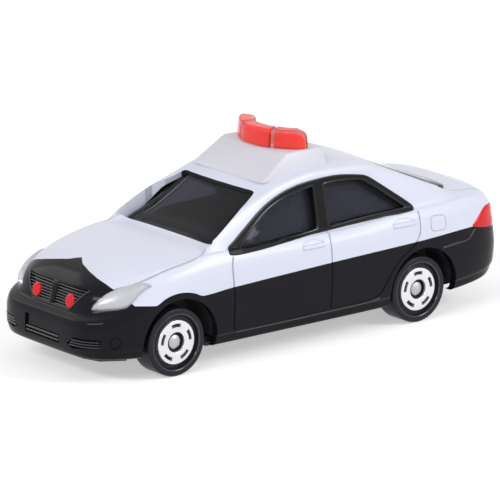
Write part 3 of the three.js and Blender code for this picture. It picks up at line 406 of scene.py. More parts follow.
def closed_rings(rows):
    """Points and faces of a solid from half rows, mirrored to the other side and closed at both ends."""
    rows = np.array(rows)
    left = rows * np.array([1, -1, 1])
    right = rows[:, -2:0:-1]
    rings = np.concatenate([left, right], axis=1)
    count, size = rings.shape[:2]
    faces = ring_faces(count, size)
    for start, turn in ((0, -1), ((count - 1) * size, 1)):
        for j in range(rows.shape[1] - 1):
            corners = (start + j, start + j + 1, start + size - j - 1, start + (size - j) % size)
            faces.append(tuple(dict.fromkeys(corners))[::turn])
    return rings.reshape(-1, 3), faces


FINE = marks_round(36, 130, 32)
PLAIN = marks_round(12, 36, 10)
FINE_STEPS = 5
PLAIN_STEPS = 2


def skin_shape(inset, cabin_inset=None, fine=True, floor=None):
    """Points and faces of the skin drawn in by an inset, let down to a level floor where one is given."""
    marks, steps = (FINE, FINE_STEPS) if fine else (PLAIN, PLAIN_STEPS)
    rows = list(smooth_rows(skin_rows(marks, inset, inset if cabin_inset is None else cabin_inset), steps))
    if floor is not None:
        low = rows[0].copy()
        low[:, 2] = floor
        rows.insert(0, low)
    return closed_rings(rows)


SKIN_POINTS, SKIN_FACES = skin_shape(0.0)
SKIN = BVHTree.FromPolygons([Vector(point) for point in SKIN_POINTS], SKIN_FACES)


# Meshes

def linked(name, data):
    """A new object in the scene."""
    item = bpy.data.objects.new(name, data)
    bpy.context.scene.collection.objects.link(item)
    return item


def new_piece(name, points, faces, edges=()):
    mesh = bpy.data.meshes.new(name)
    mesh.from_pydata([tuple(point) for point in points], edges, faces)
    mesh.update()
    return linked(name, mesh)


def skin_solid(name, inset, **options):
    return new_piece(name, *skin_shape(inset, **options))


MERGE_GAP = 1e-5


def outward(piece):
    """Closes doubles and turns every face outwards."""
    work = bmesh.new()
    work.from_mesh(piece.data)
    bmesh.ops.remove_doubles(work, verts=work.verts, dist=MERGE_GAP)
    bmesh.ops.recalc_face_normals(work, faces=work.faces)
    work.to_mesh(piece.data)
    work.free()
    return piece


def baked(piece):
    """Turns the piece's modifiers into plain mesh."""
    graph = bpy.context.evaluated_depsgraph_get()
    mesh = bpy.data.meshes.new_from_object(piece.evaluated_get(graph))
    piece.modifiers.clear()
    piece.data = mesh
    return piece


def combine(piece, others, operation):
    """Joins, cuts or keeps the common part of solids, and drops the others."""
    for other in others:
        step = piece.modifiers.new("combine", "BOOLEAN")
        step.solver = "MANIFOLD"
        step.operation = operation
        step.object = other
    baked(piece)
    for other in others:
        bpy.data.objects.remove(other)
    return piece


def copy_of(piece, name):
    return linked(name, piece.data.copy())


def mirrored(piece, name):
    """A copy on the car's other side, its faces turned back outwards."""
    twin = copy_of(piece, name)
    work = bmesh.new()
    work.from_mesh(twin.data)
    for vert in work.verts:
        vert.co.y = -vert.co.y
    bmesh.ops.reverse_faces(work, faces=work.faces)
    work.to_mesh(twin.data)
    work.free()
    return twin


def joined(name, pieces):
    """One mesh from several pieces, which get their finish afterwards."""
    work = bmesh.new()
    for piece in pieces:
        work.from_mesh(piece.data)
    mesh = bpy.data.meshes.new(name)
    work.to_mesh(mesh)
    work.free()
    for piece in pieces:
        bpy.data.objects.remove(piece)
    return linked(name, mesh)


SIDE_VIEW = ((1, 0, 0), (0, 0, 1))
FRONT_VIEW = ((0, -1, 0), (0, 0, 1))
REAR_VIEW = ((0, 1, 0), (0, 0, 1))
TOP_VIEW = ((1, 0, 0), (0, 1, 0))
MIDDLE = (0, 0, 0)
SIGHT_START = 60
PATH_GAP = 0.4
SPACE_GAP = 0.5
OUTLINE_GAP = 0.5
RING_COUNT = 28


def view_axes(view):
    """A view's axes across and up, and the one towards the viewer."""
    across, up = (np.array(axis, float) for axis in view)
    return across, up, np.cross(across, up)


def prism(name, outline, view, low, high):
    """A solid with a flat outline, drawn in a view, from low to high towards the viewer."""
    across, up, out = view_axes(view)
    base = [across * point[0] + up * point[1] for point in outline]
    count = len(base)
    points = [point + out * low for point in base] + [point + out * high for point in base]
    caps = [tuple(range(count - 1, -1, -1)), tuple(range(count, 2 * count))]
    return outward(new_piece(name, points, caps + ring_faces(2, count)))


def side_prisms(name, outline, low, high):
    """The same prism on the car's left and right."""
    return [prism(name, outline, SIDE_VIEW, low, high), prism(name, outline, SIDE_VIEW, -high, -low)]


def on_skin(point, view, origin=MIDDLE):
    """Where a line of sight through a point of a view meets the skin, and the skin's normal there."""
    across, up, out = view_axes(view)
    target = np.array(origin, float) + across * point[0] + up * point[1]
    place, normal, index, distance = SKIN.ray_cast(Vector(target + out * SIGHT_START), Vector(-out))
    if place is None:
        place, normal, index, distance = SKIN.find_nearest(Vector(target))
    return np.array(place), np.array(normal)


def skin_path(path, view, lift=0.0):
    """A path drawn in a view, laid on the skin and raised by a lift."""
    return [place + normal * lift for place, normal in (on_skin(point, view) for point in path)]


def side_path(points, closed=False):
    """A rounded path on the car's left side, from points given as (x, z)."""
    return skin_path(smooth_path(points, PATH_GAP, closed), SIDE_VIEW)


def front_path(points, lift=0.0, gap=PATH_GAP):
    """A path with its corners on the car's front, from points given as (across, z)."""
    return skin_path(straight_path(points, gap), FRONT_VIEW, lift)


def near_skin(point):
    """The closest place on the skin to a point."""
    return np.array(SKIN.find_nearest(Vector(point))[0])


def space_path(points):
    """A path that hugs the skin near points given in space."""
    return [near_skin(point) for point in smooth_path(points, SPACE_GAP)]


def other_side(path):
    return [np.array((point[0], -point[1], point[2])) for point in path]


def ring_path(middle, radius):
    """A circle on the skin round a place near it."""
    place, normal, index, distance = SKIN.find_nearest(Vector(middle))
    across = Vector((0, 0, 1)).cross(normal).normalized()
    up = normal.cross(across)
    return [near_skin(place + across * a + up * b) for a, b in circle((0, 0), radius, RING_COUNT)]


PAD_SINK = 0.35
PAD_GAP = 0.3
SHORTEST_LEG = 1e-9
INSIDE_TRIANGLES = 1


def surface_pad(name, outline, view, height, edge, origin=MIDDLE, sink=PAD_SINK, gap=PAD_GAP):
    """A raised pad with a rounded edge that follows the skin inside an outline."""
    border = straight_path(outline, gap, closed=True)
    ring = np.array(border)
    after = np.roll(ring, -1, axis=0)

    def edge_distance(point):
        leg = after - ring
        reach = np.maximum(SHORTEST_LEG, np.sum(leg * leg, 1))
        share = np.clip(np.sum((point - ring) * leg, 1) / reach, 0, 1)
        return np.min(np.linalg.norm(ring + leg * share[:, None] - point, axis=1))

    def inside(point):
        level = (ring[:, 1] > point[1]) != (after[:, 1] > point[1])
        rise = np.where(level, after[:, 1] - ring[:, 1], 1)
        cross = ring[:, 0] + (point[1] - ring[:, 1]) * (after[:, 0] - ring[:, 0]) / rise
        return np.count_nonzero(level & (point[0] < cross)) % 2 == 1

    low = ring.min(0)
    high = ring.max(0)
    inner = []
    for u in np.arange(low[0] + gap / 2, high[0], gap):
        for v in np.arange(low[1] + gap / 2, high[1], gap):
            spot = np.array((u, v))
            if inside(spot) and edge_distance(spot) > gap / 3:
                inner.append(spot)
    count = len(border)
    edges = [(i, (i + 1) % count) for i in range(count)]
    made = delaunay_2d_cdt([Vector(spot) for spot in border + inner], edges, [], INSIDE_TRIANGLES, MERGE_GAP)
    flat, faces = made[0], made[2]
    top = []
    under = []
    for point in flat:
        place, normal = on_skin(point, view, origin)
        share = min(1.0, edge_distance(np.array(point)) / edge)
        top.append(place + normal * height * math.sqrt(1 - (1 - share) ** 2))
        under.append(place - normal * sink)
    sides = dict.fromkeys((a, b) for face in faces for a, b in zip(face, face[1:] + face[:1]))
    depth = len(flat)
    walls = [(b, a, a + depth, b + depth) for a, b in sides if (b, a) not in sides]
    bottom = [tuple(corner + depth for corner in reversed(face)) for face in faces]
    return outward(new_piece(name, top + under, [tuple(face) for face in faces] + bottom + walls))


def lathe(name, profile, place, segments):
    """A turned solid from a profile of (radius, depth) round its section, set in space by place."""
    points = []
    for k in range(segments):
        angle = 2 * math.pi * k / segments
        points.extend(place(radius * math.sin(angle), radius * math.cos(angle), depth)
                      for radius, depth in profile)
    size = len(profile)
    on_axis = [radius == 0 for radius, depth in profile]
    faces = [face for face in ring_faces(segments, size, wrap=True)
             if not (on_axis[face[0] % size] and on_axis[face[1] % size])]
    return outward(new_piece(name, points, faces))


# Node trees that repeat a shape or follow a path

def set_inputs(node, values):
    for label, value in values.items():
        node.inputs[label].default_value = value


def add_node(tree, kind, values=None, operation=None):
    """A new node with plain values on its inputs."""
    node = tree.nodes.new(kind)
    if operation is not None:
        node.operation = operation
    set_inputs(node, values or {})
    return node


def wire(tree, *links):
    """Joins sockets, each link given as node, output, node, input."""
    for source, output, target, entry in links:
        tree.links.new(source.outputs[output], target.inputs[entry])


def node_tree(name, inputs):
    """A tree for shapes with its sockets, and its entry."""
    tree = bpy.data.node_groups.new(name, "GeometryNodeTree")
    for label, kind in (("Geometry", "NodeSocketGeometry"), *inputs, ("Material", "NodeSocketMaterial")):
        tree.interface.new_socket(label, in_out="INPUT", socket_type=kind)
    tree.interface.new_socket("Geometry", in_out="OUTPUT", socket_type="NodeSocketGeometry")
    return tree, tree.nodes.new("NodeGroupInput")


def close_tree(tree, entry, source, output):
    """Ends a tree in Realize Instances and Set Material."""
    real = add_node(tree, "GeometryNodeRealizeInstances")
    paint = add_node(tree, "GeometryNodeSetMaterial")
    leave = add_node(tree, "NodeGroupOutput")
    wire(tree,
         (source, output, real, "Geometry"),
         (real, "Geometry", paint, "Geometry"),
         (entry, "Material", paint, "Material"),
         (paint, "Geometry", leave, "Geometry"))
    return tree


def make_bead_tree():
    """A round bead along each path of the piece's edges."""
    tree, entry = node_tree("bead_along_path", (("Radius", "NodeSocketFloat"), ("Sides", "NodeSocketInt")))
    path = add_node(tree, "GeometryNodeMeshToCurve")
    section = add_node(tree, "GeometryNodeCurvePrimitiveCircle")
    sweep = add_node(tree, "GeometryNodeCurveToMesh", {"Fill Caps": True})
    wire(tree,
         (entry, "Geometry", path, "Mesh"),
         (entry, "Radius", section, "Radius"),
         (entry, "Sides", section, "Resolution"),
         (path, "Curve", sweep, "Curve"),
         (section, "Curve", sweep, "Profile Curve"))
    return close_tree(tree, entry, sweep, "Mesh")


def make_ring_tree():
    """Copies of the piece set round the axle line."""
    tree, entry = node_tree("ring_of_copies", (("Count", "NodeSocketInt"), ("Middle", "NodeSocketVector")))
    line = add_node(tree, "GeometryNodeMeshLine", {"Offset": (0, 0, 0)})
    place = add_node(tree, "GeometryNodeInstanceOnPoints")
    number = add_node(tree, "GeometryNodeInputIndex")
    share = add_node(tree, "ShaderNodeMath", operation="DIVIDE")
    turn = add_node(tree, "ShaderNodeMath", {1: 2 * math.pi}, "MULTIPLY")
    angles = add_node(tree, "ShaderNodeCombineXYZ")
    shift = add_node(tree, "GeometryNodeTransform")
    wire(tree,
         (entry, "Count", line, "Count"),
         (number, "Index", share, 0),
         (entry, "Count", share, 1),
         (share, "Value", turn, 0),
         (turn, "Value", angles, "Y"),
         (line, "Mesh", place, "Points"),
         (entry, "Geometry", place, "Instance"),
         (angles, "Vector", place, "Rotation"),
         (place, "Instances", shift, "Geometry"),
         (entry, "Middle", shift, "Translation"))
    return close_tree(tree, entry, shift, "Geometry")


BEAD_TREE = make_bead_tree()
RING_TREE = make_ring_tree()


def grown(piece, tree, values):
    """Runs a node tree on the piece with its named inputs set, and keeps the plain mesh."""
    grow = piece.modifiers.new(tree.name, "NODES")
    grow.node_group = tree
    for item in tree.interface.items_tree:
        if item.in_out == "INPUT" and item.name in values:
            grow[item.identifier] = values[item.name]
    return baked(piece)


BEAD_SIDES = 10
CUTTER_SIDES = 8


def bead(name, paths, radius, closed=False, sides=BEAD_SIDES):
    """A bead of round section along paths of points."""
    points = []
    edges = []
    for path in paths:
        first = len(points)
        points.extend(path)
        edges.extend((i, i + 1) for i in range(first, len(points) - 1))
        if closed:
            edges.append((len(points) - 1, first))
    guide = new_piece(name, points, [], edges)
    return outward(grown(guide, BEAD_TREE, {"Radius": radius, "Sides": sides}))


# Finishes

def shader_group(name, inputs, outputs):
    tree = bpy.data.node_groups.new(name, "ShaderNodeTree")
    for label, kind, value in inputs:
        socket = tree.interface.new_socket(label, in_out="INPUT", socket_type=kind)
        socket.default_value = value
    for label, kind in outputs:
        tree.interface.new_socket(label, in_out="OUTPUT", socket_type=kind)
    return tree, tree.nodes.new("NodeGroupInput"), tree.nodes.new("NodeGroupOutput")


def make_grain_group():
    """Fine grain of a cast or moulded surface: a height for bump and a roughness between two values."""
    tree, entry, leave = shader_group("surface_grain", (
        ("Scale", "NodeSocketFloat", 1500.0), ("Smooth", "NodeSocketFloat", 0.2),
        ("Rough", "NodeSocketFloat", 0.3)), (("Height", "NodeSocketFloat"), ("Roughness", "NodeSocketFloat")))
    where = add_node(tree, "ShaderNodeTexCoord")
    fine = add_node(tree, "ShaderNodeTexNoise", {"Detail": 3})
    broad = add_node(tree, "ShaderNodeTexNoise", {"Scale": 140, "Detail": 4})
    spread = add_node(tree, "ShaderNodeMapRange", {"From Min": 0.3, "From Max": 0.7})
    wire(tree,
         (where, "Object", fine, "Vector"),
         (where, "Object", broad, "Vector"),
         (entry, "Scale", fine, "Scale"),
         (broad, "Fac", spread, "Value"),
         (entry, "Smooth", spread, "To Min"),
         (entry, "Rough", spread, "To Max"),
         (fine, "Fac", leave, "Height"),
         (spread, "Result", leave, "Roughness"))
    return tree


# Places of the share, the two colours and the result on a node that mixes colours

MIX_SHARE = 0
MIX_FIRST = 6
MIX_SECOND = 7
MIX_RESULT = 2


def add_mix(tree):
    node = add_node(tree, "ShaderNodeMix")
    node.data_type = "RGBA"
    return node


def make_tone_group():
    """A colour that drifts a little over the piece and carries sparse dust specks."""
    tree, entry, leave = shader_group("tone_and_dust", (
        ("Color", "NodeSocketColor", (0.5, 0.5, 0.5, 1)), ("Drift", "NodeSocketColor", (0.5, 0.5, 0.5, 1)),
        ("Dust", "NodeSocketColor", (0.7, 0.7, 0.7, 1)), ("Dust Amount", "NodeSocketFloat", 0.1)),
        (("Color", "NodeSocketColor"),))
    where = add_node(tree, "ShaderNodeTexCoord")
    broad = add_node(tree, "ShaderNodeTexNoise", {"Scale": 90, "Detail": 3})
    blend = add_mix(tree)
    specks = add_node(tree, "ShaderNodeTexNoise", {"Scale": 2600, "Detail": 1})
    pick = add_node(tree, "ShaderNodeMapRange", {"From Min": 0.7, "From Max": 0.8})
    amount = add_node(tree, "ShaderNodeMath", operation="MULTIPLY")
    dusted = add_mix(tree)
    wire(tree,
         (where, "Object", broad, "Vector"),
         (where, "Object", specks, "Vector"),
         (broad, "Fac", blend, MIX_SHARE),
         (entry, "Color", blend, MIX_FIRST),
         (entry, "Drift", blend, MIX_SECOND),
         (specks, "Fac", pick, "Value"),
         (pick, "Result", amount, 0),
         (entry, "Dust Amount", amount, 1),
         (amount, "Value", dusted, MIX_SHARE),
         (blend, MIX_RESULT, dusted, MIX_FIRST),
         (entry, "Dust", dusted, MIX_SECOND),
         (dusted, MIX_RESULT, leave, "Color"))
    return tree


GRAIN = make_grain_group()
TONE = make_tone_group()
SOCKETS = {"metallic": "Metallic", "ior": "IOR", "specular": "Specular IOR Level",
           "transmission": "Transmission Weight"}
RELIEF_DISTANCE = 0.00005


def add_group(tree, group, values):
    """A node that uses a group, with plain values on its inputs."""
    node = add_node(tree, "ShaderNodeGroup")
    node.node_tree = group
    set_inputs(node, values)
    return node


def finish_of(name, color, drift, smooth, rough, grain_scale, bump, dust=0.0, dust_color=(0.7, 0.7, 0.72),
              **settings):
    """A material with drifting tone, fine grain and a bump, and plain values on its shader."""
    material = bpy.data.materials.new(name)
    material.use_nodes = True
    tree = material.node_tree
    shader = tree.nodes["Principled BSDF"]
    tone = add_group(tree, TONE, {"Color": (*color, 1), "Drift": (*drift, 1), "Dust": (*dust_color, 1),
                                  "Dust Amount": dust})
    grain = add_group(tree, GRAIN, {"Scale": grain_scale, "Smooth": smooth, "Rough": rough})
    relief = add_node(tree, "ShaderNodeBump", {"Strength": bump, "Distance": RELIEF_DISTANCE})
    wire(tree,
         (tone, "Color", shader, "Base Color"),
         (grain, "Roughness", shader, "Roughness"),
         (grain, "Height", relief, "Height"),
         (relief, "Normal", shader, "Normal"))
    set_inputs(shader, {SOCKETS[label]: value for label, value in settings.items()})
    return material


WHITE_PAINT = finish_of("gloss_white_paint", (0.765, 0.79, 0.93), (0.785, 0.81, 0.94), 0.22, 0.28,
                        grain_scale=4000, bump=0.02, specular=0.3)
BLACK_PAINT = finish_of("gloss_black_paint", (0.006, 0.006, 0.009), (0.008, 0.008, 0.012), 0.11, 0.16,
                        grain_scale=4000, bump=0.02, dust=0.1, dust_color=(0.04, 0.04, 0.05),
                        specular=0.13)
SATIN_BLACK = finish_of("satin_black_paint", (0.008, 0.008, 0.01), (0.011, 0.011, 0.014), 0.25, 0.35,
                        grain_scale=1800, bump=0.15, dust=0.12, dust_color=(0.06, 0.06, 0.07), specular=0.12)
EDGE_BLACK = finish_of("polished_black_edges", (0.012, 0.012, 0.015), (0.016, 0.016, 0.02), 0.12, 0.18,
                       grain_scale=900, bump=0.05, dust=0.1, dust_color=(0.06, 0.06, 0.07), specular=0.7)
LIP_BLACK = finish_of("polished_frame_lips", (0.009, 0.009, 0.011), (0.012, 0.012, 0.014), 0.16, 0.22,
                      grain_scale=900, bump=0.05, dust=0.1, dust_color=(0.04, 0.04, 0.05), specular=0.26)
# Painted shade: the grey that the panel grooves get, standing in for the shade that falls in them.
PAINTED_GROOVE_SHADE = finish_of("painted_groove_shade", (0.56, 0.57, 0.64), (0.52, 0.53, 0.60), 0.3, 0.4,
                         grain_scale=900, bump=0.05, dust=0.1, dust_color=(0.3, 0.3, 0.32), specular=0.2)
SILVER_PAINT = finish_of("pearl_silver_paint", (0.52, 0.53, 0.57), (0.58, 0.59, 0.63), 0.3, 0.4,
                         grain_scale=3500, bump=0.12, dust=0.2, dust_color=(0.9, 0.9, 0.92), metallic=0.35)
RED_PAINT = finish_of("gloss_red_paint", (0.75, 0.014, 0.022), (0.70, 0.012, 0.02), 0.2, 0.28,
                      grain_scale=1200, bump=0.06, dust=0.05, dust_color=(0.6, 0.2, 0.2), specular=0.25)
SMOKED_CLEAR = finish_of("smoked_clear_plastic", (0.11, 0.11, 0.13), (0.12, 0.12, 0.14), 0.02, 0.05,
                         grain_scale=60, bump=0.01, transmission=0.93, ior=1.18)
# Painted sheen: a lighter, bluer copy of the smoked plastic for the side panes of the same moulding.
SIDE_PANE_SHEEN = finish_of("smoked_plastic_painted_sheen", (0.26, 0.27, 0.35), (0.28, 0.29, 0.37), 0.02, 0.05,
                       grain_scale=60, bump=0.01, transmission=0.9, ior=1.18)
RED_CLEAR = finish_of("clear_red_plastic", (1.0, 0.33, 0.30), (0.98, 0.30, 0.27), 0.02, 0.05,
                      grain_scale=600, bump=0.04, transmission=0.88, ior=1.35)
RED_CORE = finish_of("red_moulded_core", (1.0, 0.02, 0.015), (0.96, 0.018, 0.013), 0.3, 0.4,
                     grain_scale=900, bump=0.1, dust=0.05, dust_color=(1.0, 0.2, 0.18), specular=0.3)
WHITE_PLASTIC = finish_of("white_moulded_plastic", (0.72, 0.715, 0.80), (0.74, 0.735, 0.81), 0.3, 0.4,
                          grain_scale=4000, bump=0.05, dust=0.08, dust_color=(0.5, 0.5, 0.52))
TUB_PLASTIC = finish_of("grey_tub_plastic", (0.10, 0.10, 0.11), (0.12, 0.12, 0.13), 0.45, 0.6,
                        grain_scale=2500, bump=0.25, dust=0.2)
BASE_PLASTIC = finish_of("black_base_plastic", (0.02, 0.02, 0.022), (0.026, 0.026, 0.03), 0.4, 0.55,
                         grain_scale=2500, bump=0.25, dust=0.3, dust_color=(0.15, 0.15, 0.16))
WHEEL_PLASTIC = finish_of("black_wheel_plastic", (0.012, 0.013, 0.02), (0.016, 0.017, 0.025), 0.28, 0.4,
                          grain_scale=2000, bump=0.12, dust=0.2, dust_color=(0.08, 0.08, 0.09), specular=0.2)
SILVER_FOIL = finish_of("stamped_silver_foil", (0.76, 0.76, 0.79), (0.82, 0.82, 0.84), 0.22, 0.36,
                        grain_scale=1500, bump=0.12, dust=0.1, dust_color=(0.6, 0.6, 0.62), metallic=0.75)
STEEL = finish_of("turned_steel", (0.46, 0.46, 0.48), (0.54, 0.54, 0.56), 0.45, 0.58,
                  grain_scale=3000, bump=0.15, dust=0.2, dust_color=(0.3, 0.3, 0.3), metallic=0.9)
ZINC = finish_of("bare_zinc", (0.38, 0.38, 0.39), (0.45, 0.45, 0.46), 0.35, 0.5,
                 grain_scale=2500, bump=0.25, dust=0.2, dust_color=(0.3, 0.3, 0.3), metallic=0.85)

SHARP_ANGLE = math.radians(32)
SOFT_SHARP_ANGLE = math.radians(50)


def dress(piece, body, material, stands_for=(), sharp=SHARP_ANGLE):
    """Scales a finished piece to metres, smooths it, paints it and puts it on its body."""
    mesh = piece.data
    mesh.validate()
    mesh.transform(Matrix.Scale(MM, 4))
    mesh.materials.clear()
    mesh.materials.append(material)
    mesh.polygons.foreach_set("material_index", [0] * len(mesh.polygons))
    mesh.polygons.foreach_set("use_smooth", [True] * len(mesh.polygons))
    mesh.set_sharp_from_angle(angle=sharp)
    mesh.update()
    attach(piece, body)
    for node in stands_for:
        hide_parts(node)


def painted(piece, material):
    """Dresses a detail of the painted shell."""
    dress(piece, "car", material)


def painted_pair(piece, material):
    """Dresses a detail on the left and its mirror image on the right."""
    twin = mirrored(piece, piece.name.replace("left", "right"))
    painted(piece, material)
    painted(twin, material)


def repaint_faces(piece, material, chosen):
    """Gives a second finish to the faces that a test picks by place and normal."""
    mesh = piece.data
    mesh.materials.append(material)
    index = len(mesh.materials) - 1
    for face in mesh.polygons:
        if chosen(face.center / MM, face.normal):
            face.material_index = index


# Window outlines and paint lines: from the car's left side as (x, z), or from above as (x, y)

FRAME_OUTLINE = (
    (-14.3, 16.25), (-13.85, 17.05), (-12.7, 17.75), (-10.1, 19.4), (-7.45, 21.0), (-4.75, 22.3),
    (-2.2, 23.15), (0.6, 23.7), (3.9, 23.95), (7.2, 23.95), (10.25, 23.6), (12.7, 23.1), (13.9, 22.45),
    (17.15, 20.15), (19.25, 18.65), (20.55, 17.6), (20.55, 17.2), (12.9, 16.9), (4.35, 16.65),
    (-3.65, 16.4), (-9.85, 16.1),
)
FRONT_OPENING = (
    (-12.2, 16.7), (-9.6, 18.8), (-6.85, 20.65), (-4.3, 21.85), (-1.4, 22.65), (1.45, 23.15), (2.6, 23.25),
    (2.95, 23.05), (2.8, 19.5), (2.6, 17.2), (2.3, 17.0), (-0.8, 16.75), (-5.85, 16.5), (-9.55, 16.4),
    (-11.6, 16.4),
)
REAR_OPENING = (
    (4.65, 22.9), (5.0, 23.2), (8.25, 23.2), (11.45, 22.9), (12.7, 22.45), (15.15, 20.8), (18.0, 18.65),
    (19.25, 17.7), (19.15, 17.5), (17.8, 17.45), (11.8, 17.3), (5.0, 17.0), (4.6, 17.2),
)
OPENINGS = (FRONT_OPENING, REAR_OPENING)
SCREEN_OUTLINE = both_sides([
    (-15.95, 0.0), (-15.95, 7.0), (-15.9, 9.4), (-16.05, 10.3), (-16.4, 11.35), (-15.35, 11.25),
    (-14.2, 11.05), (-13.05, 10.8), (-11.8, 10.5), (-10.75, 10.2), (-8.95, 9.4), (-7.7, 8.9), (-6.6, 8.5),
    (-6.25, 8.2), (-6.2, 7.6), (-6.4, 6.2), (-6.6, 3.7), (-6.7, 0.0),
])
SCREEN_FLOOR = 15.9
PILLAR_TIP = ((-18.2, 8.6), (-18.2, 11.46), (-16.5, 11.46), (-16.2, 11.3), (-15.2, 11.15), (-15.2, 8.6))
PILLAR_TIP_FLOOR = 17.6
BACKLIGHT_OUTLINE = both_sides([
    (29.9, 0.0), (29.75, 7.0), (29.6, 8.5), (29.0, 9.4), (27.6, 10.05), (25.6, 10.3), (23.4, 10.1),
    (20.8, 9.7), (17.8, 9.3), (16.7, 9.0), (16.1, 8.4), (16.0, 7.4), (16.0, 0.0),
])
BACKLIGHT_FLOOR = 17.0
SPLIT_LINE = (
    (-42.0, 11.42), (-31.2, 11.42), (-28.66, 11.2), (-28.0, 11.15), (-26.6, 11.83), (-25.3, 12.22),
    (-23.9, 12.35), (-22.5, 12.22), (-21.2, 11.84), (-20.1, 11.35), (-15.0, 11.65), (3.56, 12.23),
    (20.56, 12.64), (31.4, 13.0), (34.0, 12.55), (36.0, 12.3), (42.0, 12.3),
)
SPLIT_FLOOR = -3
NOSE_LINE = (
    (-31.2, 0.0), (-31.75, 0.8), (-32.3, 1.7), (-32.75, 3.1), (-33.15, 4.7), (-33.4, 7.0), (-33.2, 9.0),
    (-32.85, 10.1), (-32.2, 11.35), (-31.3, 12.3), (-31.1, 12.7), (-31.0, 16.0),
)
NOSE_END_X = -44.0

# How far out from the middle the cutting solids reach

FAR = 40
WINDOW_CUT = (6, 20)
FRAME_CUT = (5, 21)


# The painted shell

PANEL_SIDE_LINES = (
    ((-13.9, 15.9), (-14.4, 14.7), (-14.45, 10), (-14.5, 5.6), (-14.1, 5.1)),
    ((-14.1, 5.1), (-5, 5.15), (3.5, 5.2), (11.6, 5.35), (12.6, 5.8), (13.4, 6.5)),
    ((4.15, 16.6), (3.88, 15), (3.65, 10), (3.46, 5.2)),
    ((20.95, 16.9), (20.78, 14.6), (20.5, 13.6), (19.45, 12.2), (16.6, 10.4), (14.6, 8.3), (13.4, 6.5)),
)
BONNET_LINE = (
    (-33.0, -10.0, 13.6), (-30.0, -11.4, 14.3), (-24.5, -12.1, 15.7), (-21.0, -12.35, 16.3),
    (-19.2, -12.0, 16.6), (-17.6, -11.3, 17.1), (-16.6, -10.8, 17.5),
)
BOOT_LINE = (
    (29.7, -9.2, 18.1), (31.4, -9.6, 18.0), (33.5, -9.9, 17.6), (36.2, -10.0, 16.9), (37.4, -9.9, 15.9),
    (37.9, -9.6, 14.0), (38.1, -9.3, 12.5),
)
PANEL_LINE_RADIUS = 0.15
GRILLE_OUTLINE = ((-7.1, 13.2), (-4.3, 10.1), (4.3, 10.1), (7.1, 13.2))
GRILLE_DEPTH = 0.55
PLATE_OUTLINE = ((-4.1, 5.4), (4.1, 5.4), (4.1, 8.2), (-4.1, 8.2))
PLATE_DEPTH = 0.35
REAR_PLATE_OUTLINE = ((-5.2, 7.2), (5.2, 7.2), (5.2, 10.4), (-5.2, 10.4))
REAR_PLATE_DEPTH = 0.3
INTAKE_OUTLINE = ((5.9, 5.85), (7.0, 5.3), (11.0, 5.75), (11.35, 7.0), (7.4, 6.95))
INTAKE_DEPTH = 0.45
POCKET_REACH = (20, 60)
BUMPER_START_X = REAR_AXLE_X + 0.5
BUMPER_OUTLINE = ((BUMPER_START_X, 10.6), (25.19, 10.91), (29.6, 11.35), (30.6, 11.7), (31.43, 12.24),
                  (34.9, 11.75), (42, 11.6), (42, 0), (BUMPER_START_X, 0))
BUMPER_STEP = 0.08
HOLLOW_FLOOR = -2
OPENING_GAP = 0.6
ARCH_STEPS = 96
ARCH_CUT_DEPTH = 5
ARCH_CUT_END = 20
RECESS_MIDDLE = (-34.52, -12.34, 6.47)
RECESS_RADIUS = 0.8
RECESS_LINE_RADIUS = 0.13
FLAP_CORNERS = ((22.8, 13.65), (25.75, 13.55), (25.75, 15.75), (22.95, 15.9))
FLAP_ROUND = 0.7
FLAP_GAP = 0.2
FLAP_LINE_RADIUS = 0.09


def tube_cutter(name, paths, radius, closed=False):
    return bead(name, paths, radius, closed, CUTTER_SIDES)


def pocket(name, outline, view, depth):
    """A cutter that goes a little way into the skin inside an outline."""
    block = prism(name, outline, view, *POCKET_REACH)
    return combine(block, [skin_solid("pocket_floor", depth)], "DIFFERENCE")


def window_cutters():
    cutters = []
    for outline in OPENINGS:
        cutters += side_prisms("window_cut", smooth_path(outline, OPENING_GAP, closed=True), *WINDOW_CUT)
    cutters.append(prism("screen_cut", SCREEN_OUTLINE, TOP_VIEW, SCREEN_FLOOR, FAR))
    for side in (-1, 1):
        outline = [(point[0], side * point[1]) for point in PILLAR_TIP]
        cutters.append(prism("pillar_tip_cut", outline, TOP_VIEW, PILLAR_TIP_FLOOR, FAR))
    cutters.append(prism("backlight_cut", BACKLIGHT_OUTLINE, TOP_VIEW, BACKLIGHT_FLOOR, FAR))
    return cutters


def line_cutters():
    """Door, bonnet and boot lines, the bumper rings and the fuel flap."""
    left = [side_path(line) for line in PANEL_SIDE_LINES] + [space_path(BONNET_LINE), space_path(BOOT_LINE)]
    paths = left + [other_side(path) for path in left]
    cutters = [tube_cutter("panel_line", [path], PANEL_LINE_RADIUS) for path in paths]
    recess = ring_path(RECESS_MIDDLE, RECESS_RADIUS)
    cutters.append(tube_cutter("bumper_ring", [recess, other_side(recess)], RECESS_LINE_RADIUS, closed=True))
    flap = straight_path(rounded(FLAP_CORNERS, FLAP_ROUND), FLAP_GAP, closed=True)
    cutters.append(tube_cutter("flap_line", [skin_path(flap, SIDE_VIEW)], FLAP_LINE_RADIUS, closed=True))
    return cutters


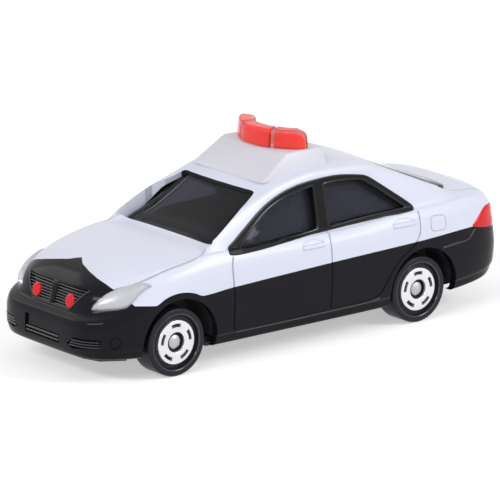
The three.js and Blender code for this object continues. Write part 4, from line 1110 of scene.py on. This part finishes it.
def make_shell():
    shell = skin_solid("shell", 0.0)
    bumper = prism("bumper", BUMPER_OUTLINE, SIDE_VIEW, -FAR, FAR)
    combine(bumper, [skin_solid("bumper_skin", -BUMPER_STEP)], "INTERSECT")
    combine(shell, [bumper], "UNION")
    cutters = [skin_solid("hollow", WALL, cabin_inset=CABIN_WALL, fine=False, floor=HOLLOW_FLOOR)]
    cutters += window_cutters()
    for x in (FRONT_AXLE_X, REAR_AXLE_X):
        ring = circle((x + ARCH_SETBACK, AXLE_Z), ARCH_RADIUS, ARCH_STEPS)
        cutters += side_prisms("arch_cut", ring, HALF - ARCH_CUT_DEPTH, ARCH_CUT_END)
    cutters.append(pocket("grille_cut", GRILLE_OUTLINE, FRONT_VIEW, GRILLE_DEPTH))
    cutters.append(pocket("plate_cut", PLATE_OUTLINE, FRONT_VIEW, PLATE_DEPTH))
    cutters.append(pocket("rear_plate_cut", REAR_PLATE_OUTLINE, REAR_VIEW, REAR_PLATE_DEPTH))
    for side in (-1, 1):
        outline = [(side * point[0], point[1]) for point in INTAKE_OUTLINE]
        cutters.append(pocket("intake_cut", outline, FRONT_VIEW, INTAKE_DEPTH))
    return combine(shell, cutters + line_cutters(), "DIFFERENCE")


def black_solids():
    """The room that the black paint fills: under the split line, and over the nose."""
    end = SPLIT_LINE[-1][0]
    split = smooth_path(SPLIT_LINE, OUTLINE_GAP) + [(end, SPLIT_FLOOR), (-end, SPLIT_FLOOR)]
    lower = prism("lower_black", split, SIDE_VIEW, -FAR, FAR)
    nose_half = smooth_path(NOSE_LINE, PATH_GAP) + [(NOSE_END_X, NOSE_LINE[-1][1]), (NOSE_END_X, 0.0)]
    nose = prism("nose_black", both_sides(nose_half), TOP_VIEW, SPLIT_FLOOR, FAR)
    return combine(lower, [nose], "UNION")


GROOVE_SHADE_DEPTHS = (0.04, 0.44)
WALL_DEPTH = 0.2
INSIDE_SHADE_DEPTH = 0.6
END_WALL_Z = 20
END_WALL_NORMAL = 0.5
PLAIN_X = (-18.4, -14.8)
PLAIN_Z = 17.2
GROOVE_SHADE_INDEX = 1
INSIDE_SHADE_INDEX = 2


def paint_shade_below_skin(piece, groove_shade, inside_shade):
    """Paints shade as a grey finish into the panel grooves, and as a dark finish onto the inside of the shell
    and the end walls of the openings.
    """
    mesh = piece.data
    mesh.materials.append(groove_shade)
    mesh.materials.append(inside_shade)
    for face in mesh.polygons:
        place = face.center / MM
        depth = SKIN.find_nearest(place)[3]
        end_wall = abs(face.normal.x) > END_WALL_NORMAL and place.z > END_WALL_Z and depth > WALL_DEPTH
        pillar_foot = PLAIN_X[0] < place.x < PLAIN_X[1] and place.z > PLAIN_Z
        # Painted shade: deep inside faces and the end walls of the screen openings go dark, grooves get the
        # grey shade.
        if depth > INSIDE_SHADE_DEPTH or end_wall:
            face.material_index = INSIDE_SHADE_INDEX
        elif GROOVE_SHADE_DEPTHS[0] < depth < GROOVE_SHADE_DEPTHS[1] and not pillar_foot:
            face.material_index = GROOVE_SHADE_INDEX


def make_painted_shell():
    shell = make_shell()
    black = copy_of(shell, "black_shell")
    cutter = black_solids()
    combine(black, [copy_of(cutter, "black_copy")], "INTERSECT")
    combine(shell, [cutter], "DIFFERENCE")
    shell.name = "white_shell"
    dress(shell, "car", WHITE_PAINT, ("body_shell",))
    # Painted shade: grey in the panel grooves, satin black on the inside of the shell and on the end walls of
    # the screen openings.
    paint_shade_below_skin(shell, PAINTED_GROOVE_SHADE, SATIN_BLACK)
    painted(black, BLACK_PAINT)


make_painted_shell()


# Raised edges on the black panels

BLACK_EDGES = (
    ((24.9, 10.87), (28.3, 11.1), (29.6, 11.2), (30.46, 11.47), (31.15, 12.15), (31.6, 12.5)),
    ((-14.2, 4.86), (-5, 4.82), (3.3, 4.9), (11.2, 5.0), (12.7, 5.3)),
)
BLACK_EDGE_SINK = 0.06
BLACK_EDGE_RADIUS = 0.17


def make_black_edges():
    lines = []
    for points in BLACK_EDGES:
        path = skin_path(smooth_path(points, PATH_GAP), SIDE_VIEW, -BLACK_EDGE_SINK)
        lines.extend((path, other_side(path)))
    painted(bead("black_panel_edges", lines, BLACK_EDGE_RADIUS), EDGE_BLACK)


make_black_edges()


# Satin window frames, a flat band with a bead round each opening

FRAME_RISE = 0.08
FRAME_DEPTH = 0.85
FRAME_OVERLAP = 0.12
OPENING_BEAD_RADIUS = 0.24
FRAME_BEAD_RADIUS = 0.14


def make_frames():
    border = smooth_path(FRAME_OUTLINE, OUTLINE_GAP, closed=True)
    band = prism("left_window_frame", border, SIDE_VIEW, *WINDOW_CUT)
    combine(band, [skin_solid("frame_top", -FRAME_RISE)], "INTERSECT")
    combine(band, [skin_solid("frame_under", FRAME_DEPTH, fine=False)], "DIFFERENCE")
    cutters = []
    for outline in OPENINGS:
        inner = smooth_path(shrunk(outline, FRAME_OVERLAP), OUTLINE_GAP, closed=True)
        cutters.append(prism("frame_cut", inner, SIDE_VIEW, *FRAME_CUT))
    combine(band, cutters, "DIFFERENCE")
    rings = [side_path(outline, closed=True) for outline in OPENINGS]
    inner_bead = bead("opening_bead", rings, OPENING_BEAD_RADIUS, closed=True)
    outer_bead = bead("frame_bead", [side_path(FRAME_OUTLINE, closed=True)], FRAME_BEAD_RADIUS, closed=True)
    lips = joined("left_frame_lips", [inner_bead, outer_bead])
    painted_pair(band, SATIN_BLACK)
    painted_pair(lips, LIP_BLACK)


make_frames()


# Lamps, handles and other raised details

LAMP_HEADING = 0.88
LAMP_ORIGIN = (NOSE_X + 6.2, -(HALF - 3), CREST_HEIGHT - 3)
LAMP_VIEW = ((math.sin(LAMP_HEADING), -math.cos(LAMP_HEADING), 0), (0, 0, 1))
LAMP_OUTLINE = (
    (-4.45, -2.35), (-4.12, -1.6), (-2.75, -0.36), (-1.18, 0.4), (0.62, 0.9), (2.4, 1.14), (3.75, 0.95),
    (4.05, 0.6), (3.5, 0.42), (2.2, -0.45), (1.5, -1.2), (0.67, -1.89), (-0.4, -2.15), (-1.58, -2.3),
    (-3.2, -2.45),
)
LAMP_HEIGHT = 0.7
LAMP_EDGE = 1.2
TAIL_HEADING = 0.75
TAIL_ORIGIN = (TAIL_X - 4.4, -(HALF - 2), CREST_HEIGHT - 2.6)
TAIL_VIEW = ((math.cos(TAIL_HEADING), math.sin(TAIL_HEADING), 0), (0, 0, 1))
TAIL_OUTLINE = (
    (-3.0, -0.5), (-2.3, 0.2), (-1.2, 1.1), (-0.2, 1.7), (0.7, 1.85), (2.2, 1.8), (3.4, 1.75), (3.7, 1.4),
    (3.7, -1.0), (3.4, -1.35), (2.2, -1.4), (0.9, -1.4), (-0.8, -1.2),
)
TAIL_HEIGHT = 0.16
TAIL_EDGE = 0.4


def make_lamps():
    for name, outline, view, origin, height, edge, material in (
            ("left_headlamp", LAMP_OUTLINE, LAMP_VIEW, LAMP_ORIGIN, LAMP_HEIGHT, LAMP_EDGE, SILVER_PAINT),
            ("left_tail_lamp", TAIL_OUTLINE, TAIL_VIEW, TAIL_ORIGIN, TAIL_HEIGHT, TAIL_EDGE, RED_PAINT)):
        border = smooth_path(outline, PAD_GAP, closed=True)
        painted_pair(surface_pad(name, border, view, height, edge, origin), material)


make_lamps()

HANDLE_PLACES = ((0.65, 15.05), (17.8, 15.5))
HANDLE_CORNERS = np.array(((-2.1, -0.36), (2.1, -0.36), (2.1, 0.36), (-2.1, 0.36)))
HANDLE_ROUND = 0.3
HANDLE_HEIGHT = 0.4
HANDLE_EDGE = 0.22
HANDLE_GAP = 0.15
CUP_LINE = np.array(((-2.0, 0.3), (-1.2, 0.75), (0.6, 0.85), (2.1, 0.4)))
CUP_GAP = 0.3
CUP_RADIUS = 0.12
BOOT_HANDLE_CORNERS = ((-4.6, 14.35), (4.6, 14.35), (4.4, 15.05), (-4.4, 15.05))
BOOT_HANDLE_HEIGHT = 0.3
BOOT_HANDLE_EDGE = 0.25
BOOT_HANDLE_GAP = 0.2


def make_handles():
    pads = []
    for place in HANDLE_PLACES:
        bar = rounded(HANDLE_CORNERS + place, HANDLE_ROUND)
        pads.append(surface_pad("handle_bar", bar, SIDE_VIEW, HANDLE_HEIGHT, HANDLE_EDGE, gap=HANDLE_GAP))
        cup = skin_path(smooth_path(CUP_LINE + place, CUP_GAP), SIDE_VIEW)
        pads.append(bead("handle_cup", [cup], CUP_RADIUS))
    painted_pair(joined("left_door_handles", pads), WHITE_PAINT)
    bar = rounded(BOOT_HANDLE_CORNERS, HANDLE_ROUND)
    handle = surface_pad("boot_handle", bar, REAR_VIEW, BOOT_HANDLE_HEIGHT, BOOT_HANDLE_EDGE,
                         gap=BOOT_HANDLE_GAP)
    painted(handle, WHITE_PAINT)


make_handles()


# Grille, intakes and plate bars

GRILLE_SLATS = 8
SLAT_SINK = 0.12
SLAT_RADIUS = 0.1
RIM_GAP = 0.3
RIM_BEAD_RADIUS = 0.13
POST_CORNERS = ((-0.6, 9.9), (0.6, 9.9), (0.75, 13.4), (-0.75, 13.4))
POST_ROUND = 0.2
POST_HEIGHT = 0.12
POST_EDGE = 0.3
SPOT_ACROSS = 4
SPOT_Z = 11.3
SPOT_RADIUS = 0.98
SPOT_STEPS = 28
SPOT_HEIGHT = 0.14
SPOT_EDGE = 0.4
SPOT_SINK = 0.5
SPOT_GAP = 0.2
FIN_FOOT_Z = 5.75
FIN_RADIUS = 0.12
INTAKE_FINS = 3
INTAKE_FIN_STEP = 0.4
INTAKE_FIN_START = 6.4
INTAKE_FIN_SHIFT = 0.25
INTAKE_FIN_END = 11.1
INTAKE_FIN_RISE = 0.1
INTAKE_FIN_SINK = 0.1
PLATE_FINS = 2
PLATE_FIN_STEP = 0.55
PLATE_FIN_HALF = 3.9


def make_grille():
    slats = []
    (low_half, low), (high_half, high) = GRILLE_OUTLINE[2:]
    for i in range(GRILLE_SLATS):
        share = (i + 0.5) / GRILLE_SLATS
        z = low + share * (high - low)
        half = low_half + share * (high_half - low_half)
        slats.append(front_path(((-half, z), (half, z)), -SLAT_SINK))
    bars = bead("grille_slats", slats, SLAT_RADIUS)
    rim = bead("grille_rim", [front_path(GRILLE_OUTLINE, gap=RIM_GAP)], RIM_BEAD_RADIUS)
    post = surface_pad("grille_post", rounded(POST_CORNERS, POST_ROUND), FRONT_VIEW, POST_HEIGHT, POST_EDGE)
    painted(joined("grille", [bars, rim]), EDGE_BLACK)
    painted(post, BLACK_PAINT)


def make_grille_lamps():
    spots = []
    for side in (-1, 1):
        ring = circle((side * SPOT_ACROSS, SPOT_Z), SPOT_RADIUS, SPOT_STEPS)
        spots.append(surface_pad("spot", ring, FRONT_VIEW, SPOT_HEIGHT, SPOT_EDGE, sink=SPOT_SINK,
                                 gap=SPOT_GAP))
    painted(joined("grille_lamps", spots), RED_PAINT)


def make_fins():
    fins = []
    for side in (-1, 1):
        for k in range(INTAKE_FINS):
            z = FIN_FOOT_Z + INTAKE_FIN_STEP * k
            start = (side * (INTAKE_FIN_START + INTAKE_FIN_SHIFT * k), z)
            end = (side * INTAKE_FIN_END, z + INTAKE_FIN_RISE)
            fins.append(front_path((start, end), -INTAKE_FIN_SINK))
    for k in range(PLATE_FINS):
        z = FIN_FOOT_Z + PLATE_FIN_STEP * k
        fins.append(front_path(((-PLATE_FIN_HALF, z), (PLATE_FIN_HALF, z)), -SLAT_SINK))
    painted(bead("bumper_fins", fins, FIN_RADIUS), EDGE_BLACK)


make_grille()
make_grille_lamps()
make_fins()


# Smoked windows, one moulding that fills the screen openings

GLASS_FIT = 0.2
GLASS_WALL = 0.6
GLASS_FOOT = 15.45
GLASS_STEPS = 4
PANE_SINKS = (0.5, 0.12)
PANE_SHRINK = 0.12
PLUG_FLOOR = 16
FOOT_OUTLINE = ((-20, -14), (35, -14), (35, 14), (-20, 14))
FOOT_FLOOR = 10
FOOT_OVERLAP = 0.01
SHEEN_SIDE_NORMAL = 0.6


def cabin_solid(name, inset):
    """The cabin with plain front corners, from a level edge up to the roof."""
    foot_x, foot_y = cabin_plan(FINE, 0.0, inset, 0.0, 0.0)
    low = deck_height(foot_x, foot_y) - inset
    rows = [np.stack([foot_x, foot_y, height], 1) for height in (np.full_like(low, GLASS_FOOT), low)]
    return new_piece(name, *closed_rings(smooth_rows(rows + cabin_rows(FINE, inset, low, 0.0), GLASS_STEPS)))


def make_glass():
    glass = cabin_solid("window_moulding", CABIN_WALL + GLASS_FIT)
    plugs = []
    for outline, sink in zip((SCREEN_OUTLINE, BACKLIGHT_OUTLINE), PANE_SINKS):
        plug = prism("window_plug", shrunk(outline, PANE_SHRINK), TOP_VIEW, PLUG_FLOOR, FAR)
        plugs.append(combine(plug, [cabin_solid("plug_top", sink)], "INTERSECT"))
    combine(glass, plugs, "UNION")
    inner = cabin_solid("glass_hollow", CABIN_WALL + GLASS_FIT + GLASS_WALL)
    foot = prism("glass_foot", FOOT_OUTLINE, TOP_VIEW, FOOT_FLOOR, GLASS_FOOT + FOOT_OVERLAP)
    combine(glass, [inner, foot], "DIFFERENCE")
    dress(glass, "car", SMOKED_CLEAR, ("window_glass",))
    # Painted sheen: faces that look sideways get the lighter, bluer side-pane finish.
    repaint_faces(glass, SIDE_PANE_SHEEN, lambda place, normal: abs(normal.y) > SHEEN_SIDE_NORMAL)


make_glass()


# Roof box and light bar

BOX_FRONT_X = HEADER_X + 1.9
BOX_REAR_X = BOX_HIGH.x - SKIN_EASE
BOX_HALF_WIDTH = BOX_HIGH.y - SKIN_EASE
BOX_SKIRT = 0.55
BOX_TOP_BOW = 1.0
BOX_FOOT_BOW = 0.3
BOX_TOP_HALF_WIDTH = 7.55
BOX_TOP_SETBACK = 0.4
BOX_FOOT_Z = BOX_LOW.z + SKIN_EASE
BOX_LIP_RISE = 0.4
BOX_FRONT_SHARES = (1.0, 0.75, 0.5, 0.25, 0.0, -0.25, -0.5, -0.75, -1.0)
BOX_ROUND = 0.34
BOX_ROUND_STEPS = 4
BOX_ROUND_ANGLE = math.radians(15)
BOX_SINK = 0.3


def make_roof_box():
    lip = float(roof_height(np.float64(BOX_FRONT_X), 0.0)) + BOX_LIP_RISE
    levels = (
        (BOX_FRONT_X - BOX_SKIRT + BOX_FOOT_BOW, BOX_REAR_X, BOX_HALF_WIDTH, BOX_FOOT_Z, BOX_FOOT_BOW),
        (BOX_FRONT_X + BOX_FOOT_BOW, BOX_REAR_X, BOX_HALF_WIDTH, lip, BOX_FOOT_BOW),
        (BAR_LOW.x, BOX_REAR_X - BOX_TOP_SETBACK, BOX_TOP_HALF_WIDTH, BOX_HIGH.z - SKIN_EASE, BOX_TOP_BOW),
    )
    points = []
    for front, back, half, z, bow in levels:
        points.extend(((back, -half, z), (back, half, z)))
        points.extend((front - bow * (1 - share ** 2), half * share, z) for share in BOX_FRONT_SHARES)
    size = len(points) // len(levels)
    caps = [tuple(range(size - 1, -1, -1)), tuple(range(2 * size, 3 * size))]
    box = outward(new_piece("roof_box", points, caps + ring_faces(len(levels), size)))
    soften = box.modifiers.new("soften", "BEVEL")
    soften.width = BOX_ROUND
    soften.segments = BOX_ROUND_STEPS
    soften.limit_method = "ANGLE"
    soften.angle_limit = BOX_ROUND_ANGLE
    baked(box)
    combine(box, [skin_solid("roof_under", BOX_SINK)], "DIFFERENCE")
    dress(box, "car", WHITE_PLASTIC, ("roof_light_box",), SOFT_SHARP_ANGLE)


make_roof_box()

BAR_FOOT_LINE = ((0.0, 0.0), (0.05, 1.4), (0.35, 2.6), (0.9, 3.8), (1.55, 5.05), (2.35, 6.2), (3.4, 7.1),
                 (4.9, 7.6))
BAR_LINE_GAP = 0.15
BAR_NOSE_X = BAR_LOW.x - 0.9
BAR_FOOT_Z = BAR_LOW.z - 0.12
BAR_HEIGHT = BAR_HIGH.z - BAR_FOOT_Z - SKIN_EASE
BAR_DEPTH = 2.9
BAR_TAPER = 0.2
BAR_LEAN = 0.3
BAR_EDGE = 0.3
BAR_EDGE_STEPS = 4
BAR_SEAM = 3.75
BAR_GAP = 0.12
BAR_STATIONS = 24
TANGENT_STEP = 0.1
SEAM_ROUND = 0.28
END_ROUND = 1.2
END_STEPS = 8
PINCH_SHARE = 0.25
LENS_INSET = 0.02
CORE_INSET = 0.38
CORE_DROP = 0.3


def bar_line():
    """The bar's front edge in plan, from end to end, and the distance along it from the middle."""
    half = smooth_path(BAR_FOOT_LINE, BAR_LINE_GAP)
    other_half = [(point[0], -point[1]) for point in reversed(half[1:])]
    line = np.array(other_half + [tuple(point) for point in half])
    steps = np.cumsum(np.linalg.norm(np.diff(line, axis=0), axis=1))
    along = np.concatenate([[0.0], steps])
    return line, along - along[-1] / 2


def end_pinch(distance, radius):
    """How far a rounded end draws in at a distance from that end."""
    short = max(0.0, radius - distance)
    return radius - math.sqrt(radius ** 2 - short ** 2)


def bar_block(name, start, stop, start_round, stop_round, inset, drop):
    """One block of the bar between two distances along its line, drawn in all round and lowered."""
    line, along = bar_line()
    start += inset
    stop -= inset
    turns = [1 - math.cos(math.pi / 2 * k / END_STEPS) for k in range(END_STEPS + 1)]
    stations = [start + start_round * t for t in turns]
    stations += list(np.linspace(start + start_round, stop - stop_round, BAR_STATIONS))[1:-1]
    stations += [stop - stop_round * t for t in reversed(turns)]
    points = []
    for at in stations:
        place, ahead, behind = (np.array([np.interp(at + step, along, line[:, axis]) for axis in (0, 1)])
                                for step in (0, TANGENT_STEP, -TANGENT_STEP))
        tangent = (ahead - behind) / np.linalg.norm(ahead - behind)
        inward = np.array((tangent[1], -tangent[0]))
        pinch = max(end_pinch(at - start, start_round), end_pinch(stop - at, stop_round))
        near = inset + PINCH_SHARE * pinch
        far = BAR_DEPTH - BAR_TAPER * abs(at) / along[-1] - near
        high = BAR_HEIGHT - inset - drop - pinch
        corners = ((near, 0.0), (near + BAR_LEAN, high), (far - BAR_LEAN, high), (far, 0.0))
        for deep, z in rounded(corners, BAR_EDGE, BAR_EDGE_STEPS):
            x, y = place + inward * deep
            points.append((BAR_NOSE_X + x, y, BAR_FOOT_Z + z))
    size = len(points) // len(stations)
    caps = [tuple(range(size)), tuple(range(len(points) - size, len(points)))]
    return outward(new_piece(name, points, caps + ring_faces(len(stations), size)))


def bar_blocks(name, inset, drop):
    """The middle block and the two swept end blocks as one piece."""
    reach = bar_line()[1][-1]
    seam = BAR_SEAM - BAR_GAP
    middle = bar_block("middle_block", -seam, seam, SEAM_ROUND, SEAM_ROUND, inset, drop)
    right = bar_block("right_block", BAR_SEAM, reach, SEAM_ROUND, END_ROUND, inset, drop)
    left = mirrored(right, "left_block")
    return joined(name, [left, middle, right])


def make_light_bar():
    lens = bar_blocks("red_light_bar", LENS_INSET, 0.0)
    dress(lens, "car", RED_CLEAR, ("light_bar_lens",), SOFT_SHARP_ANGLE)
    dress(bar_blocks("light_bar_core", CORE_INSET, CORE_DROP), "car", RED_CORE)


make_light_bar()


# Wheels: a turned plastic wheel with a stamped silver disc

WHEEL_STEPS = 96
BORE_RADIUS = 0.8
BACK_RADIUS = 4.5
FACE_EASE = 0.02
SHOULDER = 0.3
BACK_STEPS = 5
FRONT_STEPS = 6
RIM_RADIUS = 4.0
RIM_LIP = 0.22
LIP_STEPS = 5
GROOVE_RADII = (3.82, 3.4, 3.05)
GROOVE_SINK = 0.6
DISC_RADIUS = 3.25
DISC_ROUND = 0.12
DISC_STEPS = 4
DISC_BACK = 0.62
HUB_RADIUS = 1.48
HUB_SINK = 0.9
HUB_ROUND = 0.1
HUB_STEPS = 3
DISC_SINK = 0.15
SLOT_COUNT = 5
SLOT_STEPS = 8
SLOT_RADII = (2.24, 2.76)
SLOT_SWEEP = 0.32
SLOT_DEPTHS = (-0.5, 0.8)


def wheel_profile():
    radius = WHEEL_RADIUS - SKIN_EASE
    profile = [(BORE_RADIUS, WHEEL_WIDTH), (BACK_RADIUS, WHEEL_WIDTH)]
    profile += arc((radius - SHOULDER, WHEEL_WIDTH - SHOULDER), SHOULDER, 90, 0, BACK_STEPS)
    profile += arc((radius - SHOULDER, SHOULDER + FACE_EASE), SHOULDER, 0, -90, FRONT_STEPS)
    profile += arc((RIM_RADIUS + RIM_LIP, RIM_LIP + FACE_EASE), RIM_LIP, -90, -180, LIP_STEPS)
    profile += [(ring, GROOVE_SINK) for ring in (*GROOVE_RADII, HUB_RADIUS)]
    return profile + [(HUB_RADIUS, HUB_SINK), (BORE_RADIUS, HUB_SINK)]


def disc_profile():
    profile = [(HUB_RADIUS, DISC_BACK), (DISC_RADIUS, DISC_BACK)]
    profile += arc((DISC_RADIUS - DISC_ROUND, DISC_SINK + DISC_ROUND), DISC_ROUND, 0, -90, DISC_STEPS)
    return profile + arc((HUB_RADIUS + HUB_ROUND, DISC_SINK + HUB_ROUND), HUB_ROUND, -90, -180, HUB_STEPS)


def slot_cutters(middle, side):
    """Five curved slots, made once and set round the axle line."""
    inner, outer = SLOT_RADII
    front, back = SLOT_DEPTHS
    points = []
    for k in range(SLOT_STEPS + 1):
        angle = SLOT_SWEEP * (2 * k / SLOT_STEPS - 1)
        for radius, depth in ((inner, front), (inner, back), (outer, back), (outer, front)):
            points.append((radius * math.sin(angle), -side * depth, radius * math.cos(angle)))
    caps = [(0, 1, 2, 3), tuple(range(len(points) - 4, len(points)))]
    slot = outward(new_piece("disc_slot", points, caps + ring_faces(SLOT_STEPS + 1, 4)))
    return grown(slot, RING_TREE, {"Count": SLOT_COUNT, "Middle": middle, "Material": WHEEL_PLASTIC})


def make_wheel(name, x, side, body):
    def place(across, up, depth):
        return x + across, side * (WHEEL_FACE_Y - depth), AXLE_Z + up

    def on_lip(spot, normal):
        radius = math.hypot(spot.x - x, spot.z - AXLE_Z)
        at_face = WHEEL_FACE_Y - abs(spot.y) < RIM_LIP + FACE_EASE
        return at_face and abs(radius - RIM_RADIUS - RIM_LIP / 2) < RIM_LIP / 2

    wheel = lathe(name + "_tyre", wheel_profile(), place, WHEEL_STEPS)
    disc = lathe(name + "_disc", disc_profile(), place, WHEEL_STEPS)
    combine(disc, [slot_cutters(place(0, 0, 0), side)], "DIFFERENCE")
    dress(wheel, body, WHEEL_PLASTIC, (name,))
    repaint_faces(wheel, EDGE_BLACK, on_lip)
    dress(disc, body, SILVER_FOIL)


for end_name, axle_x in (("front", FRONT_AXLE_X), ("rear", REAR_AXLE_X)):
    for side_name, side in (("left", -1), ("right", 1)):
        make_wheel(end_name + "_" + side_name + "_wheel", axle_x, side, end_name + "_wheels")


# Dark wheel housings behind the arches

HOUSING_REACH = 6.2
HOUSING_LIP = 1.2
HOUSING_WALL = 0.3
HOUSING_ROOM = 0.05
HOUSING_ENDS = (-4, 184)
HOUSING_STEPS = 39
AXLE_SLOT_HALF = 1.1
AXLE_SLOT_RISE = 2.6


def make_housings():
    parts = []
    near = ARCH_RADIUS + HOUSING_ROOM
    low = HALF - HOUSING_REACH
    start, end = HOUSING_ENDS
    for x in (FRONT_AXLE_X, REAR_AXLE_X):
        middle = (x + ARCH_SETBACK, AXLE_Z)
        hood = arc(middle, near + HOUSING_WALL, start, end, HOUSING_STEPS)
        hood += arc(middle, near, end, start, HOUSING_STEPS)
        wall = arc(middle, near + HOUSING_WALL / 2, start, end, HOUSING_STEPS)
        foot = wall[0][1]
        top = AXLE_Z + AXLE_SLOT_RISE
        wall += [(x - AXLE_SLOT_HALF, foot), (x - AXLE_SLOT_HALF, top), (x + AXLE_SLOT_HALF, top),
                 (x + AXLE_SLOT_HALF, foot)]
        parts += side_prisms("housing_hood", hood, low, HALF - HOUSING_LIP)
        parts += side_prisms("housing_wall", wall, low - HOUSING_WALL, low + HOUSING_ROOM)
    dress(joined("wheel_housings", parts), "car", BASE_PLASTIC)


make_housings()


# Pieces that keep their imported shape

def paint_node(node, material):
    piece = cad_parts[node]
    piece.data.materials.clear()
    piece.data.materials.append(material)


paint_node("interior_tub", TUB_PLASTIC)
paint_node("chassis_base", BASE_PLASTIC)
for end_name in ("front", "rear"):
    paint_node(end_name + "_axle", STEEL)
    paint_node(end_name + "_leaf_spring", STEEL)

RIVET_PROFILE = ((0.0, 0.5), (1.75, 0.5), (1.7, 0.2), (1.4, 0.05), (0.8, 0.0), (0.0, 0.12))
RIVET_STEPS = 32
RIVET_PLACES = ((NOSE_X + 5.6, 0.0), (TAIL_X - 5.4, 1.2))


def make_rivet(x, lift):
    """The spun end of a post that holds the base."""
    def place(across, up, height):
        return x + up, across, SHELL_LOW.z + lift + height
    return lathe("rivet", RIVET_PROFILE, place, RIVET_STEPS)


painted(joined("rivet_ends", [make_rivet(x, lift) for x, lift in RIVET_PLACES]), ZINC)


# Floor, light and camera

def light_path_mask(tree):
    """One for rays that show the background: seen straight, in gloss or through clear plastic."""
    path = add_node(tree, "ShaderNodeLightPath")
    first = add_node(tree, "ShaderNodeMath", operation="ADD")
    second = add_node(tree, "ShaderNodeMath", operation="ADD")
    second.use_clamp = True
    wire(tree,
         (path, "Is Camera Ray", first, 0),
         (path, "Is Glossy Ray", first, 1),
         (first, "Value", second, 0),
         (path, "Is Transmission Ray", second, 1))
    return second


WHITE = (1, 1, 1, 1)
FLOOR_SIZE = 3.0
FLOOR_COLOR = (0.85, 0.85, 0.86, 1)
FLOOR_GLOW = 0.45
WORLD_LEVELS = (0.42, 1.0)
LAMPS = (
    ("key_lamp", (0.27, -0.431, 0.318), 0.2, 0.2, 1.4),
    ("front_lamp", (-0.475, -0.127, 0.344), 0.45, 0.1, 1.3),
    ("back_lamp", (-0.174, 0.478, 0.318), 0.25, 0.25, 0.25),
)
LAMP_AIM = (0, 0, 0.012)
CAMERA_TARGET = np.array((-0.452, 0.0, 11.834)) * MM
CAMERA_AZIMUTH = math.radians(-38.435)
CAMERA_ELEVATION = math.radians(15.211)
CAMERA_DISTANCE = 726.328 * MM
CAMERA_LENS = 355.18
SENSOR_WIDTH = 36


def make_floor():
    corners = [(x * FLOOR_SIZE, y * FLOOR_SIZE, 0) for x, y in ((-1, -1), (1, -1), (1, 1), (-1, 1))]
    floor = new_piece("floor", corners, [(0, 1, 2, 3)])
    material = bpy.data.materials.new("pale_floor")
    material.use_nodes = True
    tree = material.node_tree
    tree.nodes.remove(tree.nodes["Principled BSDF"])
    plain = add_node(tree, "ShaderNodeBsdfDiffuse", {"Color": FLOOR_COLOR})
    glow = add_node(tree, "ShaderNodeEmission", {"Color": WHITE})
    share = add_node(tree, "ShaderNodeMath", {1: FLOOR_GLOW}, "MULTIPLY")
    both = add_node(tree, "ShaderNodeAddShader")
    wire(tree,
         (light_path_mask(tree), "Value", share, 0),
         (share, "Value", glow, "Strength"),
         (plain, "BSDF", both, 0),
         (glow, "Emission", both, 1),
         (both, "Shader", tree.nodes["Material Output"], "Surface"))
    floor.data.materials.append(material)


def make_world():
    world = bpy.data.worlds.new("studio")
    world.use_nodes = True
    bpy.context.scene.world = world
    tree = world.node_tree
    back = tree.nodes["Background"]
    set_inputs(back, {"Color": WHITE})
    level = add_node(tree, "ShaderNodeMapRange", {"To Min": WORLD_LEVELS[0], "To Max": WORLD_LEVELS[1]})
    wire(tree, (light_path_mask(tree), "Value", level, "Value"), (level, "Result", back, "Strength"))


def make_lamp(name, place, width, height, power):
    data = bpy.data.lights.new(name, "AREA")
    data.shape = "RECTANGLE"
    data.size = width
    data.size_y = height
    data.energy = power
    lamp = linked(name, data)
    lamp.location = place
    lamp.rotation_euler = (Vector(LAMP_AIM) - Vector(place)).to_track_quat("-Z", "Y").to_euler()


def make_camera():
    data = bpy.data.cameras.new("photo_camera")
    data.lens = CAMERA_LENS
    data.sensor_width = SENSOR_WIDTH
    camera = linked("photo_camera", data)
    back = np.array((math.sin(CAMERA_AZIMUTH) * math.cos(CAMERA_ELEVATION),
                     -math.cos(CAMERA_AZIMUTH) * math.cos(CAMERA_ELEVATION), math.sin(CAMERA_ELEVATION)))
    camera.location = CAMERA_TARGET + back * CAMERA_DISTANCE
    camera.rotation_euler = Vector(-back).to_track_quat("-Z", "Y").to_euler()
    bpy.context.scene.camera = camera


make_floor()
make_world()
for lamp_row in LAMPS:
    make_lamp(*lamp_row)
make_camera()
bpy.context.scene.view_settings.view_transform = "Standard"
